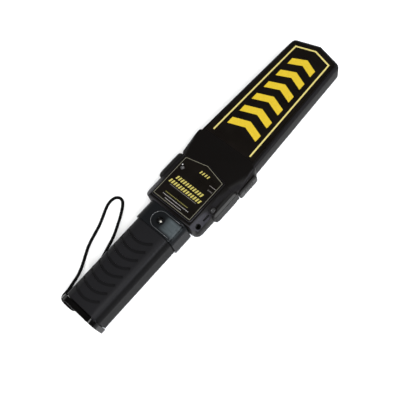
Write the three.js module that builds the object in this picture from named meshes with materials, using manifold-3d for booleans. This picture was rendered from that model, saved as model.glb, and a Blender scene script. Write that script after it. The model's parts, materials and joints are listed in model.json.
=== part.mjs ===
// Hand-held security metal detector wand, lying on its back with its labels up.
// Millimetres. X points to the side with the controls, Y from the butt to the tip, Z up.
// Stations along the wand are counted from the butt. The exported group moves them so that
// the origin is the middle of the flat face under the belly.
import * as THREE from 'three';
import { mergeVertices } from 'three/addons/utils/BufferGeometryUtils.js';
import { ConvexGeometry } from 'three/addons/geometries/ConvexGeometry.js';
import Module from 'manifold-3d';

const wasm = await Module();
wasm.setup();

// Lengths along the wand, from the butt to the tip
const capThickness = 6;
const grooveWidth = 1;
const gripLength = 110.8;
const collarLength = 25;
const controlLength = 65;
const shoulderLength = 35;
const paddleLength = 159.5;
const tipRise = 9.5;

// Widths and heights of the outside
const handleWidth = 51;
const handleHeight = 41;
const handleLift = 1;
const controlWidth = 78;
const shoulderStep = 3.2;
const railStep = 1.6;
const shoulderWidth = controlWidth + 2 * shoulderStep;
const railWidth = shoulderWidth + 2 * railStep;
const bellyWidth = 68;
const paddleBaseWidth = 80.6;
const paddleTipWidth = 67.8;
const paddleThickness = 24;
const totalHeight = 45;
const panelRise = 2.5;

// Walls and fits
const wall = 2.2;
const clearance = 0.3;
const filmGap = 0.05;
const partingHeight = 26;
const overrun = 1;

// Stations that follow from the lengths
const gripStart = capThickness + grooveWidth;
const gripEnd = gripStart + gripLength;
const collarStart = gripEnd + clearance;
const collarEnd = collarStart + collarLength;
const controlStart = collarEnd + clearance;
const controlEnd = controlStart + controlLength;
const shoulderEnd = controlEnd + shoulderLength;
const cornerStation = shoulderEnd + paddleLength;
const apexStation = cornerStation + tipRise;

// Heights that follow from the sizes above
const faceHeight = totalHeight - panelRise;
const paddleFloor = faceHeight - paddleThickness;
const handleTop = handleLift + handleHeight;
const handleAxis = handleLift + handleHeight / 2;

// Roundings of the shell: plan corners and long edges
const paddleCorner = 7;
const paddleEdge = 4.2;
const shoulderCorner = 4;
const shoulderEdge = 3;
const controlCorner = 8;
const controlEdge = 3;
const bellyCorner = 16;
const bellyEdge = 13;
const railCorner = 6;
const railEdge = 3.4;
const handleCorner = 12;
const slabLap = 20;

// The bevel along each side of the control panel, which carries the controls
const bevelInner = 30;
const bevelDrop = 9;
const bevelRun = controlWidth / 2 - bevelInner;
const bevelShare = 0.69;
const bevelAngle = Math.atan2(bevelDrop, bevelRun);

// The belly and the side rails
const bellySetback = 2;
const bellyStart = controlStart + bellySetback;
const bellyTail = 5;
const bellyEnd = shoulderEnd - bellyTail;
const railOffset = 27;
const railStart = controlStart + railOffset;
const railLow = 16;
const railHigh = 36.5;
const originShare = 0.285;
const originStation = bellyStart + (bellyEnd - bellyStart) * originShare;
const controlLow = 15;

// The handle's inner tube, under the grip
const gripWall = 2.4;
const coreStart = capThickness + clearance;
const endEdge = 0.3;

// The raised control panel and the two printed labels
const panel = { halfWidth: 29.3, setback: 4.2, shoulderBack: 2.4, peak: 4.2, corner: 2.5, edge: 0.9 };
panel.start = controlStart + panel.setback;
panel.shoulder = controlEnd - panel.shoulderBack;
panel.apex = controlEnd + panel.peak;
const label = { thickness: 0.5, pocket: 0.4, panelMargin: 1.6, paddleMargin: 4.4, corner: 2 };

// The circuit board and what stands on it
const board = { thickness: 1.6, underside: 30.4, offset: 15.6, endMargin: 3, left: 31, right: 22,
  tongueMargin: 2.4, tongueHalf: 11, corner: 1 };
board.start = controlStart + board.offset;
board.end = controlEnd - board.endMargin;
board.tongueStart = collarStart + board.tongueMargin;
const boardTop = board.underside + board.thickness;
const boss = { radius: 2.6, edgeInset: 4.5 };
const trimmer = { offset: -13, side: 9.6, height: 4.4, bore: 2.3, screw: 2, screwDepth: 1.6,
  proud: 0.5, slotWidth: 0.7, slotDepth: 0.6, hole: 2.9 };
const led = { x: -22.2, offset: 48.4, radius: 2.5, flange: 2.9, flangeHeight: 1, proud: 1.2,
  bodyHeight: 8.6, hole: 2.8, spacerRadius: 3 };
const chip = { x: -6, offset: 33, width: 14, length: 14, height: 2.2 };
const capacitor = { x: 12, offset: 50, radius: 3.2, height: 6.6 };

// The battery and its contacts
const battery = { width: 26.5, height: 17.5, length: 46.4, corner: 2.5, snapRadius: 2.9,
  snapHeight: 2.4, snapSpacing: 12.7 };
const spigot = { length: 7.2, wall: 2 };
const batteryStart = capThickness + spigot.length + clearance;
const batteryEnd = batteryStart + battery.length;
const snapEnd = batteryEnd + battery.snapHeight;
const spring = { depth: 3.4, width: 6, thickness: 0.5, height: 11, tail: 2 };
const contactBoard = { thickness: 1.6, width: 33, height: 28 };
contactBoard.start = snapEnd + spring.depth + 2 * clearance;
const cradle = { x: 9, width: 2, sideWall: 1.6, ledge: 2 };

// The battery cap. Both strands of the strap come out of a hole in its butt, run round its
// corner, sunk a little, and leave along the grip. The knot that holds them is inside.
const capOutset = 1;
const capEdge = 0.6;
const cord = { diameter: 3.4, sides: 8, steps: 78 };
const cordRadius = cord.diameter / 2;
const cordFit = cordRadius + clearance;
const hitch = { height: 29, hole: -8, sink: 0.9, bend: 3, corner: 5, arcSteps: 3, steps: 18 };
hitch.run = hitch.sink - cordFit;
hitch.side = hitch.run - handleWidth / 2 - capOutset;
hitch.strand = cordRadius + clearance / 2;
hitch.halfSlot = hitch.strand + cordFit;
const knot = { halfWidth: 3.6, halfLength: 3.2, halfHeight: 4.4 };
knot.station = capThickness + clearance + knot.halfLength;

// Screws that draw the back shell to the front shell
const screw = { head: 2.6, headHeight: 1.8, shaft: 1.2, seat: 2.4, tip: 33, counterbore: 3.1, backBoss: 4.6,
  frontBoss: 3.4, holeEnd: 35, recess: 0.9, recessDepth: 0.9 };
screw.shelf = paddleFloor + screw.seat;

// The search coils in the paddle
const former = { margin: wall + clearance, offset: 3, flange: 5.2, channel: 2.6, rim: 6.5, web: 2 };
former.start = shoulderEnd + former.offset;
former.corner = paddleCorner - former.margin;
former.edge = paddleEdge - former.margin;
const formerLow = paddleFloor + wall + clearance;
const formerHigh = faceHeight - wall - clearance;
const receiver = { margin: 20, ring: 2.4, height: 3, offset: 30, endMargin: 28, corner: 5 };
receiver.start = former.start + receiver.offset;
receiver.end = cornerStation - receiver.endMargin;

// The power slide on the side, and its switch
const slide = { offset: 1.4, length: 29, travel: 4, low: 18.6, high: 31.4, proud: 3.4, corner: 3, edge: 1.2,
  stemShare: 0.4, stemWidth: 6, stemHeight: 4, ribs: 5, ribPitch: 3, ribWidth: 1.2, ribProud: 0.6 };
slide.start = controlEnd + slide.offset;
const slideSwitch = { inner: 24, outer: 37.4, side: 1.4, height: 11.6, groove: 7 };
const stemStation = slide.start + slide.length * slide.stemShare;

// Controls on the bevel, in its own frame: heights are above the bevel's surface
const button = { offset: 32.4, radius: 3.1, dome: 1.7, shoulder: 0.9, reach: 4, ring: 5.2, ringRise: 0.8,
  travel: 1 };
const bevelBoard = { height: -8.5, thickness: 1.2, halfWidth: 5, offset: 3.6, length: 35 };
bevelBoard.start = controlStart + bevelBoard.offset;
bevelBoard.end = bevelBoard.start + bevelBoard.length;
const tact = { side: 6, height: 3.1, plungerRadius: 1.6, plungerLength: 1.6, bore: 1.9 };
const mode = { offset: 16.4, slotWidth: 2.2, slotLength: 9.4, knobWidth: 1.6, knobLength: 3.4,
  travel: 5, proud: 0.2, bodyWidth: 5, bodyLength: 11, bodyHeight: 4.6, knobReach: 5.2 };
const jack = { offset: 8.3, bore: 1.75, nose: 2.7, barrel: 3.1, noseDepth: 0.3, boreDepth: 6.2 };
const bevelPost = { radius: 0.8, butt: 4.4, tip: 4.4 };

// The buzzer and the vibration motor, in the belly
const buzzer = { offset: 64, radius: 12, height: 8, ringWall: 1.5, ringHeight: 4, slots: 5,
  slotPitch: 3.6, slotWidth: 1.6, slotLength: 15 };
const motor = { offset: 34, radius: 5, start: -14, length: 18, axisHeight: 8.4, shaft: 0.75, shaftBore: 1.05,
  shaftDepth: 3, weightGap: 2, weightLength: 4, weightRadius: 4.4, hub: 1.4, saddleLength: 10,
  saddleHalf: 6.4, saddleTop: 8.4 };
const motorEnd = motor.start + motor.length;

// Each of these is placed by its offset from the control housing's butt end
for (const item of [trimmer, led, chip, capacitor, button, mode, jack, buzzer, motor]) {
  item.station = controlStart + item.offset;
}

// Wires inside
const lead = { radius: 0.9, spread: 5, bow: 5, coilX: -12, coilBow: 1 };

// Ribs of the grip: shallow crescents that bulge towards the butt
const rib = { count: 8, radius: 25.5, width: 3.2, depth: 0.8, x: -5, reachShare: 0.72, endMargin: 9 };

// Collar: a ring with a thumb recess that runs from the trimmer to the control side
const collarOutset = 0.8;
const collarFlare = 1.2;
const recess = { radius: 10.2, depth: 1.2, slopeStart: 4.2, slopeDrop: 0.9, chamfer: 8.1, endInset: 1.7,
  step: 0.7, stepDepth: 0.4, mouth: 1.2 };

// Facets
const round = { fine: 18, plain: 8, six: 6, edge: 2, corner: 2, cap: 4, arc: 4 };

function material(color, roughness, metalness = 0) {
  return new THREE.MeshStandardMaterial({ color, roughness, metalness });
}

const casingBlack = () => material(0x1d1c1b, 0.55);
const labelBlack = () => material(0x15120f, 0.3);
const collarGloss = () => material(0x2b3236, 0.2);
const gripRubber = () => material(0x232325, 0.8);
const controlBlack = () => material(0x121213, 0.45);
const cordBlack = () => material(0x101010, 0.85);
const boardGreen = () => material(0x1f5a34, 0.5);
const partBlack = () => material(0x191919, 0.5);
const copper = () => material(0xb06a35, 0.35, 0.9);
const steel = () => material(0xb8bcc0, 0.3, 1);
const brass = () => material(0xcaa45a, 0.3, 1);
const whitePlastic = () => material(0xd9d7cf, 0.6);
const smokedLens = () => material(0x8d8f94, 0.12);
const redWire = () => material(0xa3201c, 0.5);
const blackWire = () => material(0x161616, 0.5);
const cellCase = () => material(0x3a3f45, 0.4, 0.4);

// A closed geometry as a solid, turned the right way out
function solidOf(geometry) {
  geometry.deleteAttribute('normal');
  geometry.deleteAttribute('uv');
  const merged = mergeVertices(geometry);
  const vertProperties = new Float32Array(merged.attributes.position.array);
  const triVerts = new Uint32Array(merged.index.array);
  const solid = new wasm.Manifold(new wasm.Mesh({ numProp: 3, vertProperties, triVerts }));
  if (solid.volume() > 0) {
    return solid;
  }
  return new wasm.Manifold(new wasm.Mesh({ numProp: 3, vertProperties, triVerts: triVerts.reverse() }));
}

function meshOf(name, solid, finish) {
  const { numProp, vertProperties, triVerts } = solid.getMesh();
  const geometry = new THREE.BufferGeometry();
  geometry.setAttribute('position', new THREE.BufferAttribute(vertProperties, numProp));
  geometry.setIndex(new THREE.BufferAttribute(triVerts, 1));
  geometry.computeVertexNormals();
  const mesh = new THREE.Mesh(geometry, finish);
  mesh.name = name;
  return mesh;
}

function joined(...solids) {
  return solids.reduce((whole, solid) => whole.add(solid));
}

function rectangle(x0, x1, y0, y1) {
  return [[x0, y0], [x1, y0], [x1, y1], [x0, y1]].map(([x, y]) => new THREE.Vector2(x, y));
}

// Moves every side of a convex outline inwards
function insetOutline(points, inset) {
  return points.map((corner, i) => {
    const before = points[(i + points.length - 1) % points.length];
    const after = points[(i + 1) % points.length];
    const arriving = new THREE.Vector2().subVectors(corner, before).normalize();
    const leaving = new THREE.Vector2().subVectors(after, corner).normalize();
    const normals = new THREE.Vector2(-arriving.y - leaving.y, arriving.x + leaving.x);
    return corner.clone().addScaledVector(normals, inset / (1 + arriving.dot(leaving)));
  });
}

// A convex outline, anticlockwise, with a true arc at each corner
function roundedShape(points, radius) {
  const shape = new THREE.Shape();
  insetOutline(points, radius).forEach((centre, i) => {
    const corner = points[i];
    const arriving = new THREE.Vector2().subVectors(corner, points[(i + points.length - 1) % points.length]);
    const leaving = new THREE.Vector2().subVectors(points[(i + 1) % points.length], corner);
    const from = Math.atan2(-arriving.x, arriving.y);
    const to = Math.atan2(-leaving.x, leaving.y);
    shape.absarc(centre.x, centre.y, radius, from, to, false);
  });
  shape.closePath();
  return shape;
}

// An outline drawn out between two levels, with its long edges rounded
function drawnOut(shape, low, high, edge = 0) {
  const geometry = new THREE.ExtrudeGeometry(shape, {
    depth: high - low - 2 * edge,
    bevelEnabled: edge > 0,
    bevelThickness: edge,
    bevelSize: edge,
    bevelOffset: -edge,
    bevelSegments: round.edge,
    curveSegments: round.corner,
  });
  return geometry.translate(0, 0, low + edge);
}

const alongX = new THREE.Matrix4().makeBasis(
  new THREE.Vector3(0, 1, 0), new THREE.Vector3(0, 0, 1), new THREE.Vector3(1, 0, 0));
const alongY = new THREE.Matrix4().makeBasis(
  new THREE.Vector3(1, 0, 0), new THREE.Vector3(0, 0, 1), new THREE.Vector3(0, -1, 0));

// Slabs by the axis that they are drawn out along: Z from a plan outline, Y from an outline
// in X and Z, X from an outline in Y and Z
function slabZ(points, radius, low, high, edge) {
  const shape = radius > 0 ? roundedShape(points, radius) : new THREE.Shape(points);
  return solidOf(drawnOut(shape, low, high, edge));
}

function slabY(points, radius, start, end, edge) {
  const shape = radius > 0 ? roundedShape(points, radius) : new THREE.Shape(points);
  return solidOf(drawnOut(shape, -end, -start, edge).applyMatrix4(alongY));
}

function slabX(points, radius, start, end, edge) {
  const shape = radius > 0 ? roundedShape(points, radius) : new THREE.Shape(points);
  return solidOf(drawnOut(shape, start, end, edge).applyMatrix4(alongX));
}

function box(x0, x1, y0, y1, z0, z1) {
  return slabZ(rectangle(x0, x1, y0, y1), 0, z0, z1);
}

function cylinder(radius, x, y, low, high, facets = round.plain, topRadius = radius) {
  const geometry = new THREE.CylinderGeometry(topRadius, radius, high - low, facets);
  return solidOf(geometry.rotateX(Math.PI / 2).translate(x, y, (low + high) / 2));
}

function turned(profile, facets = round.fine) {
  const points = profile.map(([r, z]) => new THREE.Vector2(r, z));
  return new THREE.LatheGeometry(points, facets).rotateX(Math.PI / 2);
}

// A length of the handle, inset from the grip's outside or widened to both sides
function handlePrism(inset, start, end, edge = 0, flare = 0) {
  const half = handleWidth / 2 - inset + flare;
  const section = rectangle(-half, half, handleLift + inset, handleTop - inset);
  return slabY(section, handleCorner - Math.max(inset, 0), start, end, edge);
}

// The paddle's plan from any station on: its sides taper from the shoulder to the tip's corners
function paddleOutline(start) {
  const tip = paddleTipWidth / 2;
  const base = tip + (paddleBaseWidth / 2 - tip) * (cornerStation - start) / paddleLength;
  const right = [[base, start], [tip, cornerStation], [0, apexStation]];
  const points = [[-base, start], ...right, [-tip, cornerStation]];
  return points.map(([x, y]) => new THREE.Vector2(x, y));
}

function panelOutline(inset) {
  const { halfWidth, start, shoulder, apex } = panel;
  const right = [[halfWidth, start], [halfWidth, shoulder], [0, apex]];
  const points = [[-halfWidth, start], ...right, [-halfWidth, shoulder]];
  return insetOutline(points.map(([x, y]) => new THREE.Vector2(x, y)), inset);
}

// What the bevel takes off one side: full depth along the panel, running out at the shoulder
function bevelCut(side, inset) {
  const retreat = inset * Math.hypot(bevelRun, bevelDrop) / bevelDrop;
  const lowest = faceHeight - shoulderWidth * bevelDrop / bevelRun;
  const wedge = (start, innerStart, end, innerEnd) => {
    const corners = [];
    for (const [station, inner] of [[start, innerStart], [end, innerEnd]]) {
      const near = inner - retreat;
      const far = near + shoulderWidth;
      corners.push(new THREE.Vector3(side * near, station, faceHeight));
      corners.push(new THREE.Vector3(side * near, station, totalHeight));
      corners.push(new THREE.Vector3(side * far, station, totalHeight));
      corners.push(new THREE.Vector3(side * far, station, lowest));
    }
    return solidOf(new ConvexGeometry(corners));
  };
  const along = wedge(controlStart - overrun, bevelInner, panel.shoulder, bevelInner);
  const runOut = wedge(panel.shoulder - overrun, bevelInner, shoulderEnd, shoulderWidth / 2);
  return along.add(runOut);
}

// The whole casing without its rails as one solid, at full size or inset to give the hollow
function casing(inset) {
  const edge = (radius) => Math.max(radius - inset, clearance);
  const paddle = slabZ(insetOutline(paddleOutline(shoulderEnd - slabLap), inset), edge(paddleCorner),
    paddleFloor + inset, faceHeight - inset, edge(paddleEdge));
  const shoulderHalf = shoulderWidth / 2;
  const shoulder = slabZ(
    insetOutline(rectangle(-shoulderHalf, shoulderHalf, controlEnd - inset * 2, shoulderEnd), inset),
    edge(shoulderCorner), paddleFloor + inset, faceHeight - inset, edge(shoulderEdge));
  const controlHalf = controlWidth / 2;
  const control = slabZ(
    insetOutline(rectangle(-controlHalf, controlHalf, controlStart, controlEnd + slabLap), inset),
    edge(controlCorner), controlLow + inset, faceHeight - inset, edge(controlEdge));
  const bellyHalf = bellyWidth / 2;
  const belly = slabZ(insetOutline(rectangle(-bellyHalf, bellyHalf, bellyStart, bellyEnd), inset),
    edge(bellyCorner), inset, faceHeight - bellyEdge / 2 - inset, edge(bellyEdge));
  const body = joined(paddle, shoulder, control, belly);
  return body.subtract(bevelCut(1, inset)).subtract(bevelCut(-1, inset));
}

function rails(inset) {
  const half = railWidth / 2 - inset;
  return slabX(insetOutline(rectangle(railStart, controlEnd, railLow, railHigh), inset),
    railCorner - inset, -half, half, railEdge - inset);
}

// The bevel's own frame: its Z is the bevel's outward normal, its Y the wand's
const bevelFrame = new THREE.Group();
bevelFrame.position.set(bevelInner + bevelRun * bevelShare, 0, faceHeight - bevelDrop * bevelShare);
bevelFrame.rotation.y = bevelAngle;
bevelFrame.updateMatrix();

function onBevel(solidGeometry) {
  return solidOf(solidGeometry.applyMatrix4(bevelFrame.matrix));
}

function bevelCylinder(radius, station, low, high, facets = round.plain) {
  const geometry = new THREE.CylinderGeometry(radius, radius, high - low, facets);
  return geometry.rotateX(Math.PI / 2).translate(0, station, (low + high) / 2);
}

function bevelSlot(width, start, end, low, high) {
  const outline = rectangle(-width / 2, width / 2, start, end);
  return drawnOut(roundedShape(outline, width / 2 - filmGap), low, high);
}

// Where the screws stand: two in the belly, four behind the shoulder and the paddle
const bossInset = screw.backBoss + clearance;
const bellyScrews = [
  [-board.right + screw.backBoss, board.start - bossInset],
  [board.right - screw.backBoss, board.start - bossInset],
];
const paddleScrews = [
  [-shoulderWidth / 2 + wall + bossInset, shoulderEnd - wall - bossInset],
  [shoulderWidth / 2 - wall - bossInset, shoulderEnd - wall - bossInset],
  [0, former.start + former.rim + bossInset + clearance],
  [0, cornerStation - former.rim - bossInset],
];
const screwPlaces = [...bellyScrews, ...paddleScrews];

// Both shells have the same skin: the casing with its rails, its core tube and its inner ledges
function shellSkin() {
  const coreInset = gripWall + clearance;
  const outside = joined(casing(0), rails(0), handlePrism(coreInset, coreStart, controlStart + slabLap));
  const hollow = joined(casing(wall), rails(wall),
    handlePrism(coreInset + wall, coreStart - overrun, controlStart + slabLap));
  const ledgeStart = contactBoard.start + contactBoard.thickness + clearance;
  const ledgeEnd = ledgeStart + cradle.ledge;
  const ledge = handlePrism(coreInset + wall - overrun, ledgeStart, ledgeEnd)
    .subtract(handlePrism(coreInset + wall + cradle.ledge, ledgeStart - overrun, ledgeEnd + overrun));
  return outside.subtract(hollow).add(ledge);
}

// The slot in the side wall that the power slide's stem passes through
function slideSlot() {
  const middle = stemStation;
  const halfStem = slide.stemWidth / 2 + clearance;
  const axis = (slide.low + slide.high) / 2;
  const halfHeight = slide.stemHeight / 2 + clearance;
  return box(slideSwitch.outer, railWidth, middle - halfStem, middle + halfStem + slide.travel,
    axis - halfHeight, axis + halfHeight);
}

function halfSpace(low, high) {
  return box(-railWidth, railWidth, -capThickness, apexStation + capThickness, low, high);
}

function frontShell(skin) {
  const roof = faceHeight - wall + filmGap;
  let shell = skin.add(slabZ(panelOutline(0), panel.corner, faceHeight - wall, totalHeight, panel.edge));
  for (const x of [-board.left + boss.edgeInset, board.right - boss.edgeInset]) {
    for (const y of [board.start + boss.edgeInset, board.end - boss.edgeInset]) {
      shell = shell.add(cylinder(boss.radius, x, y, boardTop + clearance, roof));
    }
  }
  for (const [x, y] of screwPlaces) {
    shell = shell.add(cylinder(screw.frontBoss, x, y, partingHeight, roof));
    const hole = cylinder(screw.shaft + clearance, x, y, partingHeight - overrun, screw.holeEnd, round.six);
    shell = shell.subtract(hole);
  }
  const ringTop = button.ringRise;
  shell = shell.add(onBevel(bevelCylinder(button.ring, button.station, -wall, ringTop, round.fine)));
  for (const station of [button.station - bevelPost.butt, button.station + bevelPost.tip]) {
    const foot = bevelBoard.height + clearance;
    shell = shell.add(onBevel(bevelCylinder(bevelPost.radius, station, foot, -wall / 2)));
  }
  const pressRib = (x) => box(x - cradle.width / 2, x + cradle.width / 2, batteryStart, batteryEnd,
    handleAxis + battery.height / 2 + clearance, handleTop - gripWall - wall);
  shell = joined(shell, pressRib(-cradle.x), pressRib(cradle.x));
  shell = shell.intersect(halfSpace(partingHeight + clearance / 2, totalHeight + overrun));
  const holes = [
    onBevel(bevelCylinder(button.radius + clearance, button.station, -2 * wall, ringTop + overrun,
      round.fine)),
    onBevel(bevelSlot(mode.slotWidth, mode.station, mode.station + mode.slotLength, -2 * wall, overrun)),
    onBevel(bevelCylinder(jack.nose + clearance, jack.station, -2 * wall, overrun, round.fine)),
    cylinder(led.hole, led.x, led.station, faceHeight - wall - overrun, totalHeight + overrun, round.fine),
    cylinder(trimmer.hole, 0, trimmer.station, boardTop + trimmer.height, totalHeight, round.fine),
    slabZ(panelOutline(label.panelMargin - clearance), label.corner, totalHeight - label.pocket,
      totalHeight + overrun),
    slabZ(insetOutline(paddleOutline(shoulderEnd - label.paddleMargin / 2), label.paddleMargin - clearance),
      label.corner, faceHeight - label.pocket, faceHeight + overrun),
    slideSlot(),
  ];
  return holes.reduce((whole, hole) => whole.subtract(hole), shell);
}

function buzzerGrille() {
  const middle = (buzzer.slots - 1) / 2;
  const slots = Array.from({ length: buzzer.slots }, (unused, i) => {
    const y = buzzer.station + (i - middle) * buzzer.slotPitch;
    const half = buzzer.slotLength / 2;
    const outline = rectangle(-half, half, y - buzzer.slotWidth / 2, y + buzzer.slotWidth / 2);
    return slabZ(outline, buzzer.slotWidth / 2 - filmGap, -overrun, wall + overrun);
  });
  return joined(...slots);
}

function backShell(skin) {
  let shell = skin;
  for (const [x, y] of bellyScrews) {
    shell = shell.add(cylinder(screw.backBoss, x, y, wall / 2, partingHeight));
  }
  for (const [x, y] of paddleScrews) {
    shell = shell.add(cylinder(screw.backBoss, x, y, paddleFloor + wall / 2, partingHeight));
  }
  const ringOuter = buzzer.radius + clearance + buzzer.ringWall;
  const ring = cylinder(ringOuter, 0, buzzer.station, wall / 2, wall + buzzer.ringHeight, round.fine)
    .subtract(cylinder(buzzer.radius + clearance, 0, buzzer.station, 0, totalHeight, round.fine));
  const middle = motor.start + motor.length / 2;
  const saddle = box(middle - motor.saddleLength / 2, middle + motor.saddleLength / 2,
    motor.station - motor.saddleHalf, motor.station + motor.saddleHalf, wall / 2, motor.saddleTop)
    .subtract(motorCylinder(motor.radius + clearance, motor.start - overrun, motorEnd + overrun));
  shell = joined(shell, ring, saddle);
  const bedTop = handleAxis - battery.height / 2 - clearance;
  const bedLow = handleLift + gripWall + wall;
  for (const side of [-1, 1]) {
    const bed = side * cradle.x;
    shell = shell.add(box(bed - cradle.width / 2, bed + cradle.width / 2, batteryStart, batteryEnd,
      bedLow, bedTop));
    const inner = battery.width / 2 + clearance;
    const outer = inner + cradle.sideWall;
    shell = shell.add(box(Math.min(side * inner, side * outer), Math.max(side * inner, side * outer),
      batteryStart, batteryEnd, bedLow, handleAxis));
  }
  shell = shell.intersect(halfSpace(-overrun, partingHeight - clearance / 2));
  for (const [x, y] of screwPlaces) {
    shell = shell.subtract(cylinder(screw.counterbore, x, y, -overrun, screw.shelf));
    shell = shell.subtract(cylinder(screw.shaft + clearance, x, y, 0, partingHeight, round.six));
  }
  return shell.subtract(buzzerGrille()).subtract(slideSlot());
}

function motorCylinder(radius, start, end, facets = round.fine) {
  const geometry = new THREE.CylinderGeometry(radius, radius, end - start, facets);
  geometry.rotateZ(Math.PI / 2).translate((start + end) / 2, motor.station, motor.axisHeight);
  return solidOf(geometry);
}

function paddleLabel() {
  const low = faceHeight - label.pocket + filmGap;
  const outline = insetOutline(paddleOutline(shoulderEnd - label.paddleMargin / 2), label.paddleMargin);
  return slabZ(outline, label.corner, low, low + label.thickness);
}

function panelLabel() {
  const low = totalHeight - label.pocket + filmGap;
  const plate = slabZ(panelOutline(label.panelMargin), label.corner, low, low + label.thickness);
  const high = totalHeight + overrun;
  return plate.subtract(cylinder(led.hole, led.x, led.station, low - overrun, high, round.fine));
}

// The collar's recess: a round end at the trimmer, and a channel whose floor slopes and then
// drops over the rounded corner. A shallow step runs round its edge.
function collar() {
  const start = collarStart - overrun;
  const end = collarEnd + overrun;
  const ring = handlePrism(-collarOutset, collarStart, collarEnd, endEdge, collarFlare)
    .subtract(handlePrism(gripWall, start, end));
  const floor = handleTop + collarOutset - recess.depth;
  const low = floor - recess.slopeDrop;
  const side = handleWidth / 2 + collarOutset + collarFlare - recess.depth;
  const section = [[-side, handleAxis], [side, handleAxis], [side, low - recess.chamfer],
    [side - recess.chamfer, low], [recess.slopeStart, floor], [-side, floor]];
  const under = slabY(section.map(([x, z]) => new THREE.Vector2(x, z)), 0, start, end);
  const cut = (radius, base) => {
    const slot = box(0, side - recess.endInset, trimmer.station - radius, trimmer.station + radius,
      handleAxis, totalHeight + overrun);
    return slot.add(trimmerHole(radius, handleAxis, totalHeight + overrun)).subtract(base);
  };
  const step = cut(recess.radius + recess.step,
    handlePrism(recess.stepDepth - collarOutset, start, end, 0, collarFlare));
  const mouthLow = floor - recess.mouth;
  const mouth = trimmerHole(trimmer.hole, mouthLow, floor + filmGap, trimmer.hole + recess.mouth);
  const holes = [cut(recess.radius, under), step, mouth, trimmerHole(trimmer.hole, handleAxis, totalHeight)];
  return holes.reduce((whole, hole) => whole.subtract(hole), ring);
}

function trimmerHole(radius, low, high, topRadius = radius) {
  return cylinder(radius, 0, trimmer.station, low, high, round.fine, topRadius);
}

// A crescent band in plan, bulging towards the butt. It keeps its depth over the rounded edge.
function ribGroove(station) {
  const inner = rib.radius - rib.width / 2;
  const outer = rib.radius + rib.width / 2;
  const spread = Math.asin(rib.reachShare);
  const toButt = -Math.PI / 2;
  const shape = new THREE.Shape();
  shape.absarc(0, 0, outer, toButt - spread, toButt + spread, false);
  shape.absarc(0, 0, inner, toButt + spread, toButt - spread, true);
  shape.closePath();
  const geometry = new THREE.ExtrudeGeometry(shape, { depth: handleTop - handleAxis, bevelEnabled: false,
    curveSegments: round.arc });
  return solidOf(geometry.translate(rib.x, station + rib.radius, handleAxis + overrun));
}

function gripSleeve() {
  const sleeve = handlePrism(0, gripStart, gripEnd, endEdge)
    .subtract(handlePrism(gripWall, gripStart - overrun, gripEnd + overrun));
  const pitch = (gripLength - 2 * rib.endMargin) / rib.count;
  const first = gripStart + rib.endMargin;
  const grooves = Array.from({ length: rib.count }, (unused, i) => ribGroove(first + i * pitch));
  const kept = handlePrism(rib.depth, gripStart - overrun, gripEnd + overrun);
  return sleeve.subtract(joined(...grooves).subtract(kept));
}

// What the strap's two strands need free in the cap: the hole, and the way round the corner
function strapWay() {
  const { height, hole, sink, bend, corner, run, side, halfSlot } = hitch;
  const low = height - halfSlot;
  const high = height + halfSlot;
  const outside = side - cordFit;
  const turn = (x, radius, x0, x1) => box(x0, x1, -sink, run + radius, low, high)
    .subtract(cylinder(radius - cordFit, x, run + radius, low - overrun, high + overrun, round.fine));
  return joined(
    box(hole - cordFit, hole + cordFit, run, capThickness + overrun, low, high),
    turn(hole - bend, bend, hole - bend, hole + cordFit),
    box(side + corner, hole - bend, -sink, sink, low, high),
    turn(side + corner, corner, outside, side + corner),
    box(outside, side + cordFit, run + corner, capThickness + overrun, low, high),
  );
}

// The cap closes the battery bay and carries the strap
function batteryCap() {
  const plate = handlePrism(-capOutset, 0, capThickness, capEdge);
  const plugInset = gripWall + 2 * clearance + wall;
  const plug = handlePrism(plugInset, capThickness - overrun, capThickness + spigot.length)
    .subtract(handlePrism(plugInset + spigot.wall, capThickness, capThickness + spigot.length + overrun));
  return joined(plate, plug).subtract(strapWay());
}

// Cord drawn along a smooth curve through points
function cordAlong(points, steps) {
  const section = new THREE.Shape();
  section.absarc(0, 0, cordRadius, 0, Math.PI * 2, false);
  const extrudePath = new THREE.CatmullRomCurve3(points);
  return solidOf(new THREE.ExtrudeGeometry(section, {
    steps, curveSegments: cord.sides / 2, bevelEnabled: false, extrudePath }));
}

// The strap's hitch: two strands from the knot inside the cap, round the corner to the grip
function strapHitch() {
  const { height, hole, bend, corner, run, side, strand, arcSteps, steps } = hitch;
  const strandAt = (z) => {
    const arc = (x, y, radius, from) => Array.from({ length: arcSteps + 1 }, (unused, i) => {
      const angle = from - (i / arcSteps) * Math.PI / 2;
      return new THREE.Vector3(x + radius * Math.cos(angle), y + radius * Math.sin(angle), z);
    });
    return cordAlong([
      new THREE.Vector3(hole, knot.station, z), ...arc(hole - bend, run + bend, bend, 0),
      ...arc(side + corner, run + corner, corner, -Math.PI / 2), new THREE.Vector3(side, capThickness, z),
    ], steps);
  };
  const ball = new THREE.SphereGeometry(knot.halfWidth, round.plain, round.plain / 2).rotateX(Math.PI / 2);
  ball.scale(1, knot.halfLength / knot.halfWidth, knot.halfHeight / knot.halfWidth);
  ball.translate(hole, knot.station, height);
  return joined(strandAt(height - strand), strandAt(height + strand), solidOf(ball));
}

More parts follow.
